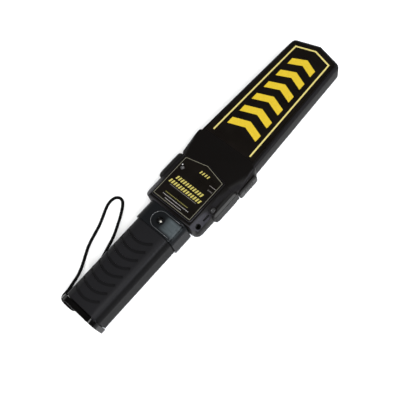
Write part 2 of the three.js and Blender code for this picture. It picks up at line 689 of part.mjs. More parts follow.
// The strap: one cord from the cap's corner, down to the table, out and back
const strapRoute = [
  [-27.6, 6.6, 30.85], [-28, 9.6, 30.35], [-30.1, 14.5, 27.9], [-34.1, 21.4, 22.7], [-38.6, 28.2, 16.8],
  [-43.9, 35, 11.2], [-50.2, 42.6, 6.2], [-56.4, 50.8, 3.1], [-61.3, 59, 2], [-64.6, 67.2, 1.9],
  [-67.1, 75.5, 1.9], [-69.7, 84.2, 1.9], [-72.7, 91.8, 1.9], [-76.2, 99.2, 1.9], [-79.6, 106.5, 1.9],
  [-81.6, 112.6, 1.9], [-82, 118.4, 1.9], [-80.4, 123.8, 1.9], [-76, 126.9, 1.9], [-71.1, 126.2, 1.9],
  [-67.2, 122.9, 1.9], [-63.4, 118, 1.9], [-57.6, 108.7, 1.9], [-53.2, 100.3, 1.9], [-49.1, 92.1, 1.9],
  [-45.7, 83.8, 1.9], [-42.9, 74.3, 1.9], [-40.2, 65.2, 1.9], [-37.2, 55.6, 2.1], [-33.9, 45.6, 4.6],
  [-31.2, 35.4, 9.8], [-29.5, 25, 16.4], [-28.6, 16, 23], [-27.8, 9.6, 26.55], [-27.6, 6.6, 27.15],
];

function strapCord() {
  return cordAlong(strapRoute.map(([x, y, z]) => new THREE.Vector3(x, y, z)), cord.steps);
}

function batteryBlock() {
  const half = battery.width / 2;
  const low = handleAxis - battery.height / 2;
  const outline = rectangle(-half, half, low, low + battery.height);
  let block = slabY(outline, battery.corner, batteryStart, batteryEnd);
  for (const side of [-1, 1]) {
    const height = battery.snapHeight + overrun;
    const snap = new THREE.CylinderGeometry(battery.snapRadius, battery.snapRadius, height, round.plain);
    const middle = batteryEnd + (battery.snapHeight - overrun) / 2;
    block = block.add(solidOf(snap.translate(side * battery.snapSpacing / 2, middle, handleAxis)));
  }
  return block;
}

function contactPlate() {
  const { width, height, start, thickness } = contactBoard;
  const outline = rectangle(-width / 2, width / 2, handleAxis - height / 2, handleAxis + height / 2);
  return slabY(outline, battery.corner, start, start + thickness);
}

// A leaf spring seen from the side: a foot on the contact board and a bow to the snap
function contactSpring(side) {
  const start = snapEnd + clearance;
  const end = contactBoard.start - clearance;
  const foot = handleAxis + spring.height / 2;
  const shape = new THREE.Shape();
  shape.moveTo(end, foot);
  shape.lineTo(end - spring.thickness, foot);
  shape.lineTo(end - spring.thickness, foot - spring.tail);
  shape.quadraticCurveTo(start - spring.depth / 2 + spring.thickness, handleAxis, end - spring.thickness,
    2 * handleAxis - foot);
  shape.lineTo(end, 2 * handleAxis - foot);
  shape.quadraticCurveTo(start - spring.depth / 2 + 2 * spring.thickness, handleAxis, end,
    foot - spring.tail);
  shape.closePath();
  const middle = side * battery.snapSpacing / 2;
  const geometry = drawnOut(shape, middle - spring.width / 2, middle + spring.width / 2);
  return solidOf(geometry.applyMatrix4(alongX));
}

function circuitBoard() {
  const { start, end, left, right, tongueStart, tongueHalf, corner, underside } = board;
  const plate = slabZ(rectangle(-left, right, start, end), corner, underside, boardTop);
  const tongue = rectangle(-tongueHalf, tongueHalf, tongueStart, start + slabLap);
  return plate.add(slabZ(tongue, corner, underside, boardTop));
}

function trimmerBody() {
  const half = trimmer.side / 2;
  const low = boardTop + filmGap;
  const body = box(-half, half, trimmer.station - half, trimmer.station + half, low, low + trimmer.height);
  return body.subtract(cylinder(trimmer.bore, 0, trimmer.station, low + trimmer.height - trimmer.screwDepth,
    totalHeight, round.fine));
}

function trimmerScrew() {
  const top = boardTop + filmGap + trimmer.height + trimmer.proud;
  const low = boardTop + filmGap + trimmer.height - trimmer.screwDepth + clearance;
  const disc = cylinder(trimmer.screw, 0, trimmer.station, low, top, round.fine);
  return disc.subtract(box(-trimmer.hole, trimmer.hole, trimmer.station - trimmer.slotWidth / 2,
    trimmer.station + trimmer.slotWidth / 2, top - trimmer.slotDepth, top + overrun));
}

// A round-topped lamp with the flange that it stands on
function alarmLed() {
  const top = totalHeight + led.proud;
  const low = top - led.bodyHeight;
  const profile = [[0, low], [led.flange, low], [led.flange, low + led.flangeHeight],
    [led.radius, low + led.flangeHeight], [led.radius, top - led.radius]];
  for (let i = 1; i < round.cap; i += 1) {
    const angle = (i / round.cap) * Math.PI / 2;
    profile.push([led.radius * Math.cos(angle), top - led.radius * (1 - Math.sin(angle))]);
  }
  profile.push([0, top]);
  return solidOf(turned(profile).translate(led.x, led.station, 0));
}

function ledSpacer() {
  const top = totalHeight + led.proud - led.bodyHeight - filmGap;
  return cylinder(led.spacerRadius, led.x, led.station, boardTop + filmGap, top, round.plain);
}

function mainChip() {
  const low = boardTop + filmGap;
  return box(chip.x - chip.width / 2, chip.x + chip.width / 2, chip.station - chip.length / 2,
    chip.station + chip.length / 2, low, low + chip.height);
}

function filterCapacitor() {
  const low = boardTop + filmGap;
  return cylinder(capacitor.radius, capacitor.x, capacitor.station, low, low + capacitor.height);
}

// Outline of the coils' carrier: the paddle's hollow, less the clearance
function coilOutline(inset) {
  return insetOutline(paddleOutline(former.start - former.margin), former.margin + inset);
}

function coilFormer() {
  const body = slabZ(coilOutline(0), former.corner, formerLow, formerHigh, former.edge);
  const channelLow = formerLow + former.flange;
  const channelHigh = formerHigh - former.flange;
  const channel = slabZ(coilOutline(-overrun), former.corner, channelLow, channelHigh)
    .subtract(slabZ(coilOutline(former.channel), former.corner, formerLow, formerHigh));
  const window = slabZ(coilOutline(former.rim), former.corner, formerLow - overrun, formerHigh + overrun);
  const webLow = partingHeight + clearance;
  const web = slabZ(coilOutline(former.rim - overrun), former.corner, webLow, webLow + former.web);
  let carrier = body.subtract(channel).subtract(window).add(web);
  for (const [x, y] of screwPlaces) {
    carrier = carrier.subtract(cylinder(screw.backBoss + clearance, x, y, 0, totalHeight));
  }
  return carrier;
}

function transmitCoil() {
  const low = formerLow + former.flange + clearance;
  const high = formerHigh - former.flange - clearance;
  return slabZ(coilOutline(clearance), former.corner, low, high)
    .subtract(slabZ(coilOutline(former.channel - clearance), former.corner, low - overrun, high + overrun));
}

function receiveCoil() {
  const low = partingHeight + clearance + former.web + filmGap;
  const half = paddleTipWidth / 2 - receiver.margin;
  const ring = (inset) => insetOutline(rectangle(-half, half, receiver.start, receiver.end), inset);
  const high = low + receiver.height;
  return slabZ(ring(0), receiver.corner, low, high)
    .subtract(slabZ(ring(receiver.ring), receiver.corner / 2, low - overrun, high + overrun));
}

function buzzerCan() {
  const low = wall + clearance;
  const can = cylinder(buzzer.radius, 0, buzzer.station, low, low + buzzer.height, round.fine);
  return can.subtract(cylinder(buzzer.radius / 3, 0, buzzer.station, low - overrun, low + wall));
}

function vibrationMotor() {
  return motorCylinder(motor.radius, motor.start, motorEnd)
    .subtract(motorCylinder(motor.shaftBore, motorEnd - motor.shaftDepth, motorEnd + overrun, round.plain));
}

// The motor's shaft with its half-round weight, hanging down
function motorWeight() {
  const weightStart = motorEnd + motor.weightGap;
  const weightEnd = weightStart + motor.weightLength;
  const shaft = motorCylinder(motor.shaft, motorEnd - motor.shaftDepth + clearance, weightEnd, round.plain);
  const disc = motorCylinder(motor.weightRadius, weightStart, weightEnd);
  const lower = box(weightStart - overrun, weightEnd + overrun, motor.station - motor.radius,
    motor.station + motor.radius, motor.axisHeight - motor.radius, motor.axisHeight);
  return joined(shaft, disc.intersect(lower), motorCylinder(motor.hub, weightStart, weightEnd, round.plain));
}

function powerSwitchBody() {
  const middle = stemStation + slide.travel / 2;
  const low = paddleFloor + wall + clearance;
  const half = (slide.stemWidth + slide.travel) / 2 + clearance + slideSwitch.side;
  const body = box(slideSwitch.inner, slideSwitch.outer - clearance, middle - half, middle + half, low,
    low + slideSwitch.height);
  const axis = (slide.low + slide.high) / 2;
  const halfHeight = slide.stemHeight / 2 + clearance;
  const halfGroove = (slide.stemWidth + slide.travel) / 2 + clearance;
  return body.subtract(box(slideSwitch.outer - slideSwitch.groove, slideSwitch.outer + overrun,
    middle - halfGroove, middle + halfGroove, axis - halfHeight, axis + halfHeight));
}

// The bar on the side with its thumb ribs, and the stem into the switch
function powerSlide() {
  const inner = shoulderWidth / 2 + clearance;
  const outer = shoulderWidth / 2 + slide.proud;
  const outline = rectangle(slide.start, slide.start + slide.length, slide.low, slide.high);
  let bar = slabX(outline, slide.corner, inner, outer, slide.edge);
  const middle = slide.start + slide.length / 2;
  const axis = (slide.low + slide.high) / 2;
  for (let i = 0; i < slide.ribs; i += 1) {
    const y = middle + (i - (slide.ribs - 1) / 2) * slide.ribPitch;
    bar = bar.add(box(outer - slide.edge, outer + slide.ribProud, y - slide.ribWidth / 2,
      y + slide.ribWidth / 2, slide.low + slide.corner, slide.high - slide.corner));
  }
  const stem = box(slideSwitch.outer - slideSwitch.groove + clearance, inner + overrun,
    stemStation - slide.stemWidth / 2, stemStation + slide.stemWidth / 2, axis - slide.stemHeight / 2,
    axis + slide.stemHeight / 2);
  return bar.add(stem);
}

// Parts in the bevel's frame, at rest
function pushButton() {
  const rise = button.dome - button.shoulder;
  const profile = [[0, -button.reach], [button.radius, -button.reach], [button.radius, button.shoulder]];
  for (let i = 1; i < round.cap; i += 1) {
    const angle = (i / round.cap) * Math.PI / 2;
    profile.push([button.radius * Math.cos(angle), button.shoulder + rise * Math.sin(angle)]);
  }
  profile.push([0, button.dome]);
  return solidOf(turned(profile).translate(0, button.station, 0));
}

function tactPlunger() {
  const top = -button.reach - filmGap;
  return solidOf(bevelCylinder(tact.plungerRadius, button.station, top - tact.plungerLength, top));
}

function tactBody() {
  const low = bevelBoard.height + filmGap;
  const body = solidOf(drawnOut(new THREE.Shape(rectangle(-tact.side / 2, tact.side / 2,
    button.station - tact.side / 2, button.station + tact.side / 2)), low, low + tact.height));
  const floor = -button.reach - tact.plungerLength - button.travel - clearance;
  return body.subtract(solidOf(bevelCylinder(tact.bore, button.station, floor, overrun)));
}

function bevelBoardPlate() {
  const { height, thickness, halfWidth, start, end } = bevelBoard;
  const outline = rectangle(-halfWidth, halfWidth, start, end);
  return solidOf(drawnOut(new THREE.Shape(outline), height - thickness, height));
}

function modeSwitchBody() {
  const low = bevelBoard.height + filmGap;
  const middle = mode.station + mode.slotLength / 2;
  const body = solidOf(drawnOut(new THREE.Shape(rectangle(-mode.bodyWidth / 2, mode.bodyWidth / 2,
    middle - mode.bodyLength / 2, middle + mode.bodyLength / 2)), low, low + mode.bodyHeight));
  const half = mode.knobWidth / 2 + clearance;
  return body.subtract(solidOf(drawnOut(new THREE.Shape(rectangle(-half, half, mode.station,
    mode.station + mode.slotLength)), -mode.knobReach - clearance, overrun)));
}

function modeKnob() {
  const start = mode.station + (mode.slotLength - mode.knobLength - mode.travel) / 2;
  const half = mode.knobWidth / 2;
  return solidOf(drawnOut(new THREE.Shape(rectangle(-half, half, start, start + mode.knobLength)),
    -mode.knobReach, mode.proud));
}

function jackSocket() {
  const low = bevelBoard.height + filmGap;
  const neck = -wall - 2 * clearance;
  const profile = [[0, low], [jack.barrel, low], [jack.barrel, neck], [jack.nose, neck],
    [jack.nose, -jack.noseDepth], [jack.bore, -jack.noseDepth], [jack.bore, -jack.boreDepth],
    [0, -jack.boreDepth]];
  return solidOf(turned(profile).translate(0, jack.station, 0));
}

function housingScrew([x, y]) {
  const headLow = screw.shelf - clearance - screw.headHeight;
  const head = cylinder(screw.head, x, y, headLow, screw.shelf - clearance);
  const shaft = cylinder(screw.shaft, x, y, headLow + overrun, screw.tip, round.six);
  const socketTop = headLow + screw.recessDepth;
  return head.add(shaft).subtract(cylinder(screw.recess, x, y, headLow - overrun, socketTop, round.six));
}

// A straight run of wire between two stations, bowed a little
function wire(x, start, end, height, bow) {
  const middle = (start + end) / 2;
  const path = new THREE.CatmullRomCurve3([
    new THREE.Vector3(x, start, height), new THREE.Vector3(x, (start + middle) / 2, height - bow / 2),
    new THREE.Vector3(x, middle, height - bow), new THREE.Vector3(x, (middle + end) / 2, height - bow / 2),
    new THREE.Vector3(x, end, height)]);
  const section = new THREE.Shape();
  section.absarc(0, 0, lead.radius, 0, Math.PI * 2, false);
  return solidOf(new THREE.ExtrudeGeometry(section, {
    steps: cord.sides, curveSegments: round.corner, bevelEnabled: false, extrudePath: path }));
}

const skin = shellSkin();
const wireStart = contactBoard.start + contactBoard.thickness + clearance;
const wireEnd = board.tongueStart - clearance;
const boardMiddle = (board.underside + boardTop) / 2;

const wand = new THREE.Group();
wand.add(
  meshOf('front_shell', frontShell(skin), casingBlack()),
  meshOf('back_shell', backShell(skin), casingBlack()),
  meshOf('paddle_label', paddleLabel(), labelBlack()),
  meshOf('panel_label', panelLabel(), labelBlack()),
  meshOf('collar', collar(), collarGloss()),
  meshOf('grip_sleeve', gripSleeve(), gripRubber()),
  meshOf('battery_cap', batteryCap(), casingBlack()),
  meshOf('strap_hitch', strapHitch(), cordBlack()),
  meshOf('strap_cord', strapCord(), cordBlack()),
  meshOf('battery_block', batteryBlock(), cellCase()),
  meshOf('contact_board', contactPlate(), boardGreen()),
  meshOf('contact_spring_left', contactSpring(-1), steel()),
  meshOf('contact_spring_right', contactSpring(1), steel()),
  meshOf('coil_former', coilFormer(), whitePlastic()),
  meshOf('transmit_coil', transmitCoil(), copper()),
  meshOf('receive_coil', receiveCoil(), copper()),
  meshOf('circuit_board', circuitBoard(), boardGreen()),
  meshOf('main_chip', mainChip(), partBlack()),
  meshOf('filter_capacitor', filterCapacitor(), partBlack()),
  meshOf('trimmer_body', trimmerBody(), partBlack()),
  meshOf('trimmer_screw', trimmerScrew(), brass()),
  meshOf('alarm_led', alarmLed(), smokedLens()),
  meshOf('led_spacer', ledSpacer(), whitePlastic()),
  meshOf('buzzer', buzzerCan(), partBlack()),
  meshOf('vibration_motor', vibrationMotor(), steel()),
  meshOf('motor_weight', motorWeight(), brass()),
  meshOf('power_switch_body', powerSwitchBody(), partBlack()),
  meshOf('power_slide', powerSlide(), controlBlack()),
  meshOf('red_lead', wire(-lead.spread, wireStart, wireEnd, boardMiddle, lead.bow), redWire()),
  meshOf('black_lead', wire(lead.spread, wireStart, wireEnd, boardMiddle, lead.bow), blackWire()),
  meshOf('coil_lead', wire(lead.coilX, board.end + clearance, former.start - clearance, boardMiddle,
    lead.coilBow), blackWire()),
);
screwPlaces.forEach((place, i) => {
  wand.add(meshOf(`housing_screw_${i + 1}`, housingScrew(place), steel()));
});

bevelFrame.add(
  meshOf('push_button', pushButton(), controlBlack()),
  meshOf('tact_plunger', tactPlunger(), controlBlack()),
  meshOf('tact_body', tactBody(), partBlack()),
  meshOf('bevel_board', bevelBoardPlate(), boardGreen()),
  meshOf('mode_switch_body', modeSwitchBody(), partBlack()),
  meshOf('mode_knob', modeKnob(), controlBlack()),
  meshOf('jack_socket', jackSocket(), controlBlack()),
);
wand.add(bevelFrame);
wand.position.y = -originStation;

export default wand;
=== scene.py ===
"""Looks of a hand-held security metal detector wand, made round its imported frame.

Metres, in the frame of the CAD model: X to the side with the controls, Y from the butt to the
tip, Z up. The origin is on the flat face under the belly. Printed marks, turned profiles and the
strap's points are in millimetres.
"""

import json
import logging
import math
from dataclasses import dataclass
from enum import Enum
from functools import reduce
from typing import Callable, Sequence

import bmesh
import bpy
from mathutils import Matrix, Vector


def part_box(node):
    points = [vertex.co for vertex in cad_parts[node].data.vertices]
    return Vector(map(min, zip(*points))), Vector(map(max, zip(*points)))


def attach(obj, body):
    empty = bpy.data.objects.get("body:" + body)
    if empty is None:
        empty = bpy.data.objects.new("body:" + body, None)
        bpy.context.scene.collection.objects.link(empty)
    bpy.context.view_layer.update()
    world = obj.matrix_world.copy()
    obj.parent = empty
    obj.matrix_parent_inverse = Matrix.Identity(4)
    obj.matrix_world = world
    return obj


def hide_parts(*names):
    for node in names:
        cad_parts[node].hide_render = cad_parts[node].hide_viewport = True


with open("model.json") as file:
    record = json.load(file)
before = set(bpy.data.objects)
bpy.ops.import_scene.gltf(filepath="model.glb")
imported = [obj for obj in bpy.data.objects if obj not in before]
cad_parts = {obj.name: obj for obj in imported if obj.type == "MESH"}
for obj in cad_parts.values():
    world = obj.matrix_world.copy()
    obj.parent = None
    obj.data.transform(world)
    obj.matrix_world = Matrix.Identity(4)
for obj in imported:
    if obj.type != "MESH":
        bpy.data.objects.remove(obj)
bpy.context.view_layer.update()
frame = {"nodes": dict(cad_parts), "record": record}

log = logging.getLogger("wand")

Point = tuple[float, float, float]
Colour = tuple[float, float, float]
Pair = tuple[float, float]
Limits = tuple[float, float, float, float]
Outline = Sequence[Pair]
Socket = bpy.types.NodeSocket
Node = bpy.types.Node
Material = bpy.types.Material
Piece = bpy.types.Object
Mesh = bpy.types.Mesh
Corner = bmesh.types.BMVert
Work = bmesh.types.BMesh
Build = Callable[[Work], object]

MM = 0.001
HANDSET = "handset"
CAP = "battery_cap"
GROOVE = "groove_depth"
MIDDLE = (0.3, 0.7)
SOLID_MERGE = 1e-7
CAD_MERGE = 2e-6
CAD_FLAT = math.radians(0.5)
EDGE_ANGLE = 50.0
CUT_ANGLE = 40.0
TURNED_ANGLE = 35.0
EDGE_FACETS = 2
FLATS_WEIGHT = 60
GRAIN_DEPTH = 0.00003
GRAIN_STRENGTH = 0.6
WAVE_RELIEF = (0.00002, 0.35)
FULL_SIZE = (1.0, 1.0, 1.0)
WHITE_LIGHT = (1.0, 1.0, 1.0)
OVERCUT = 1.0


class Ink(Enum):
    """The inks that the two labels are printed with."""

    YELLOW = (0.50, 0.356, 0.0144)
    PALE_YELLOW = (0.505, 0.428, 0.135)
    DULL_YELLOW = (0.38, 0.33, 0.075)
    BRASS = (0.158, 0.152, 0.11)
    WHITE = (0.42, 0.41, 0.40)
    OLIVE = (0.15, 0.14, 0.035)
    ASH = (0.17, 0.155, 0.145)
    # A white that paints the glint beside the lamp.
    CHALK = (0.85, 0.85, 0.85)


class Pattern(Enum):
    """The plain patterns: a texture's kind and its settings, its scale being for a metre."""

    MOTTLE = ("Noise", {"scale": 38.0, "detail": 3.0})
    SPARK_GRAIN = ("Noise", {"scale": 2600.0, "detail": 3.0})
    COARSE_GRAIN = ("Noise", {"scale": 1800.0, "detail": 3.0})
    SMEARS = ("Noise", {"scale": 60.0, "detail": 4.0})
    WAVINESS = ("Noise", {"scale": 420.0, "detail": 1.0})
    STREAKS = ("Noise", {"scale": 300.0, "detail": 2.0})
    RUBBER_GRAIN = ("Noise", {"scale": 1500.0, "detail": 4.0})
    WEAR = ("Noise", {"scale": 24.0, "detail": 3.0})
    SPECKLE = ("Noise", {"scale": 900.0, "detail": 3.0})
    CLOUD = ("Noise", {"scale": 700.0, "detail": 2.0})
    FIBRE = ("Noise", {"scale": 300.0, "detail": 4.0})
    RESIST = ("Noise", {"scale": 80.0, "detail": 3.0})
    TOOL_LINES = ("Wave", {"scale": 900.0, "distortion": 1.2, "detail": 2.0})
    WINDING = ("Wave", {"scale": 700.0, "bands_direction": "Z"})
    WEAVE = ("Checker", {"scale": 1400.0})


Share = tuple[Pattern, float, float]


class Shade:
    """A material under construction: a node tree with its principled shader."""

    def __init__(self, name: str) -> None:
        """Starts a node material.

        Args:
            name: the material's name.
        """
        self.material = bpy.data.materials.new(name)
        self.material.use_nodes = True
        tree = self.material.node_tree
        self.nodes, self.join = tree.nodes, tree.links.new
        self.inputs = self.nodes["Principled BSDF"].inputs
        self.places = self.add("ShaderNodeTexCoord").outputs
        self.patterns: dict[Pattern, Socket] = {}

    def add(self, kind: str, **values: object) -> Node:
        """Adds a node and sets its properties and inputs by name.

        Args:
            kind: the node's type.
            values: properties, or inputs with underscores for spaces; a socket is linked.

        Returns:
            The new node.
        """
        node = self.nodes.new(kind)
        for key, value in values.items():
            title = key.replace("_", " ").title()
            if title not in node.inputs:
                setattr(node, key, value)
            elif isinstance(value, Socket):
                self.join(value, node.inputs[title])
            else:
                node.inputs[title].default_value = value
        return node

    def axes(self, which: str) -> tuple[Socket, ...]:
        """Returns the X, Y and Z of one of Texture Coordinate's outputs."""
        return tuple(self.add("ShaderNodeSeparateXYZ", vector=self.places[which]).outputs)

    def pattern(self, which: Pattern) -> Socket:
        """Returns the value of a plain pattern on Object coordinates, made once in a material.

        Args:
            which: the pattern.

        Returns:
            The value's socket.
        """
        if which not in self.patterns:
            kind, settings = which.value
            texture = self.add(f"ShaderNodeTex{kind}", vector=self.places["Object"], **settings)
            self.patterns[which] = texture.outputs["Fac"]
        return self.patterns[which]

    def maths(self, operation: str, *values: Socket | float) -> Socket:
        """Adds a sum on sockets or numbers.

        Args:
            operation: the Math node's operation.
            values: what it works on.

        Returns:
            The result's socket.
        """
        node = self.add("ShaderNodeMath", operation=operation)
        for socket, value in zip(node.inputs, values):
            if isinstance(value, Socket):
                self.join(value, socket)
            else:
                socket.default_value = value
        return node.outputs["Value"]

    def product(self, *shares: Socket) -> Socket:
        """Returns the product of several values."""
        return reduce(lambda first, second: self.maths("MULTIPLY", first, second), shares)

    def spread(self, source: Socket, low: float, high: float) -> Socket:
        """Maps the middle of a pattern, between 0.3 and 0.7, to a range."""
        return self.add("ShaderNodeMapRange", value=source, from_min=MIDDLE[0],
                        from_max=MIDDLE[1], to_min=low, to_max=high).outputs["Result"]

    def band(self, source: Socket, limits: Limits) -> Socket:
        """Gives 1 between two limits and 0 outside, with a smooth edge at either side.

        Args:
            source: the value that is tested.
            limits: where it begins to rise, reaches 1, begins to fall and is 0 again.

        Returns:
            The result's socket.
        """
        rise, full, fade, end = limits
        return self.product(*(
            self.add("ShaderNodeMapRange", interpolation_type="SMOOTHSTEP", value=source,
                     from_min=low, from_max=high).outputs["Result"]
            for low, high in ((rise, full), (end, fade))))

    def tint(self, pattern: Socket, *tones: Colour, ends: Pair = MIDDLE) -> None:
        """Colours the surface by a pattern, from the first tone to the last.

        Args:
            pattern: a value between 0 and 1.
            tones: two tones, or three with the second half way.
            ends: the values that take the first and the last tone.
        """
        ramp = self.add("ShaderNodeValToRGB", fac=pattern)
        stops = ramp.color_ramp.elements
        for stop, tone, end in zip(stops, (tones[0], tones[-1]), ends):
            stop.color = (*tone, 1.0)
            stop.position = end
        if len(tones) > 2:
            stops.new(sum(ends) / 2).color = (*tones[1], 1.0)
        self.join(ramp.outputs["Color"], self.inputs["Base Color"])

    def over(self, share: Socket, colour: Colour) -> None:
        """Lays another tone over the surface's colour.

        Args:
            share: how much of it covers, from 0 to 1.
            colour: the tone.
        """
        mix = self.add("ShaderNodeMix", data_type="RGBA")
        factor, under, top = (mix.inputs[index] for index in (0, 6, 7))
        base = self.inputs["Base Color"]
        self.join(share, factor)
        self.join(base.links[0].from_socket, under)
        top.default_value = (*colour, 1.0)
        self.join(mix.outputs[2], base)

    def rough(self, pattern: Socket, low: float, high: float) -> None:
        """Varies the roughness between two values."""
        self.join(self.spread(pattern, low, high), self.inputs["Roughness"])

    def relief(self, height: Socket, depth: float, strength: float) -> None:
        """Raises the surface by a pattern, its depth in metres, and keeps a share of the effect."""
        bump = self.add("ShaderNodeBump", strength=strength, distance=depth, height=height)
        self.join(bump.outputs["Normal"], self.inputs["Normal"])

    def finished(self, shine: float, metal: float = 0.0) -> Material:
        """Sets what is the same all over the surface.

        Args:
            shine: the specular level.
            metal: how metallic it is.

        Returns:
            The material.
        """
        self.inputs["Specular IOR Level"].default_value = shine
        self.inputs["Metallic"].default_value = metal
        return self.material


def toned(colour: Colour, share: float) -> Colour:
    """Returns a colour made lighter or darker by a share of itself."""
    return tuple(min(1.0, channel * share) for channel in colour)


@dataclass(frozen=True)
class PlainFinish:
    """A finish of one tone that plain patterns vary.

    Args:
        name: the material's name.
        colour: its mean tone.
        toning: the pattern of its tone, with the tone's shares at either end.
        gloss: the pattern of its roughness, with the roughness at either end.
        relief: the pattern of its height, with the depth in metres and the strength.
        shine: the specular level.
        metal: how metallic it is.
    """

    name: str
    colour: Colour
    toning: Share
    gloss: Share
    relief: Share | None = None
    shine: float = 0.5
    metal: float = 0.0

    def material(self) -> Material:
        """Builds the node material.

        Returns:
            The material.
        """
        shade = Shade(self.name)
        pattern, dark, light = self.toning
        shade.tint(shade.pattern(pattern), toned(self.colour, dark), toned(self.colour, light))
        for dress, share in ((shade.rough, self.gloss), (shade.relief, self.relief)):
            if share:
                dress(shade.pattern(share[0]), *share[1:])
        return shade.finished(self.shine, self.metal)


def moulded(name: str, colour: Colour, roughness: float, shine: float = 0.3,
            depth: float = GRAIN_DEPTH, grain: Pattern = Pattern.SPARK_GRAIN) -> PlainFinish:
    """Returns spark-eroded plastic: a fine even grain under a low sheen."""
    return PlainFinish(name, colour, (Pattern.MOTTLE, 0.8, 1.25),
                       (grain, roughness * 0.84, roughness * 1.16),
                       (grain, depth, GRAIN_STRENGTH), shine)


def polished(name: str, colour: Colour, roughness: float, smear: float = 0.05,
             shine: float = 0.5) -> PlainFinish:
    """Returns glossy moulding or clear film, with faint waviness and smears."""
    return PlainFinish(name, colour, (Pattern.SMEARS, 0.85, 1.2),
                       (Pattern.SMEARS, roughness - smear, roughness + smear),
                       (Pattern.WAVINESS, *WAVE_RELIEF), shine)


def bare_metal(name: str, colour: Colour, roughness: float) -> PlainFinish:
    """Returns metal with fine turning or drawing lines."""
    lines = Pattern.TOOL_LINES
    return PlainFinish(name, colour, (lines, 0.85, 1.1),
                       (lines, roughness - 0.05, roughness + 0.08), (lines, 0.00001, 0.3),
                       metal=1.0)


def printed_ink(ink: Ink) -> PlainFinish:
    """Returns screen-printed ink, a little uneven where it covers the film."""
    return PlainFinish(f"ink_{ink.name.lower()}", ink.value, (Pattern.SPECKLE, 0.86, 1.06),
                       (Pattern.SPECKLE, 0.42, 0.56), (Pattern.SPECKLE, 0.00001, 0.3))


@dataclass(frozen=True)
class CasingMoulding:
    """The casing's black moulding, with a painted reflection, painted sheen and painted shade on
    it.

    Args:
        name: the material's name.
        colour: its base tone.
        bevel: the painted reflection's tone on the bevelled faces beside the socket.
        rail: the painted sheen's tone on the side rails.
        edge: the painted highlight's tone on the side rails' rounded edges.
        button: the middle of the push button.
        ring: the reach of a ring of painted shade round the button, where the painted reflection is
            left out.
        mottle: how uneven the painted tones are.
        bevel_tilt: the upward share of a bevelled face's direction.
        edge_tilt: the same of a rail's rounded edge.
        socket_end: the stretch beside the socket, along Y, where the painted reflection is full.
        faded_sheen: the share of the painted reflection beyond that stretch.
        rail_end: the rails' stretch along Y.
        rail_out: how far out a rail begins.
        edge_out: how far out its outer edge begins.
        dull_end: the bevel's duller stretch along Y.
        dullness: how much rougher it is there.
        gloss: the roughness elsewhere.
        shine: the specular level.
    """

    name: str = "casing_moulding"
    colour: Colour = (0.0038, 0.0033, 0.0030)
    bevel: Colour = (0.029, 0.028, 0.033)
    rail: Colour = (0.013, 0.0128, 0.0124)
    edge: Colour = (0.052, 0.0515, 0.050)
    button: Point = (0.0362, 0.0039, 0.0363)
    ring: Limits = (-0.002, -0.001, 0.0041, 0.0049)
    mottle: Pair = (0.75, 1.0)
    bevel_tilt: Limits = (0.2, 0.5, 0.8, 0.93)
    edge_tilt: Limits = (0.25, 0.5, 0.94, 0.985)
    socket_end: Limits = (-1.0, -0.9, -0.008, 0.001)
    faded_sheen: float = 0.2
    rail_end: Limits = (-0.006, 0.002, 0.034, 0.042)
    rail_out: Limits = (0.0381, 0.0387, 1.0, 2.0)
    edge_out: Limits = (0.0408, 0.0416, 1.0, 2.0)
    dull_end: Limits = (-0.006, 0.004, 0.042, 0.052)
    dullness: float = 0.4
    gloss: Pair = (0.32, 0.44)
    shine: float = 0.045

    def material(self) -> Material:
        """Builds the node material.

        Returns:
            The material.
        """
        shade = Shade(self.name)
        fine = shade.pattern(Pattern.SPARK_GRAIN)
        uneven = shade.spread(shade.pattern(Pattern.MOTTLE), *self.mottle)
        x, y, _ = shade.axes("Object")
        _, _, upward = shade.axes("Normal")
        # Painted reflection: faces that slant outwards take a lighter, cooler tone, fading along Y.
        tilted = shade.band(upward, self.bevel_tilt)
        sheen_along = shade.maths("MULTIPLY_ADD", shade.band(y, self.socket_end), 1.0 - self.faded_sheen,
                           self.faded_sheen)
        shade.tint(shade.product(tilted, sheen_along, uneven), self.colour, self.bevel, ends=(0.0, 1.0))
        # Painted sheen on the side rails, and a painted highlight on their outer rounded edges.
        out = shade.maths("ABSOLUTE", x)
        rail = shade.product(shade.band(out, self.rail_out), shade.band(y, self.rail_end), uneven)
        shade.over(rail, self.rail)
        edge = shade.product(rail, shade.band(out, self.edge_out),
                             shade.band(upward, self.edge_tilt))
        shade.over(edge, self.edge)
        # Painted shade: a ring round the button goes back to the dark base tone.
        apart = shade.add("ShaderNodeVectorMath", operation="DISTANCE")
        apart.inputs[1].default_value = self.button
        shade.join(shade.places["Object"], apart.inputs[0])
        shade.over(shade.band(apart.outputs["Value"], self.ring), self.colour)
        dull = shade.product(tilted, shade.band(y, self.dull_end))
        roughness = shade.maths("MULTIPLY_ADD", dull, self.dullness,
                                shade.spread(fine, *self.gloss))
        shade.join(roughness, shade.inputs["Roughness"])
        shade.relief(fine, GRAIN_DEPTH, GRAIN_STRENGTH)
        return shade.finished(self.shine)


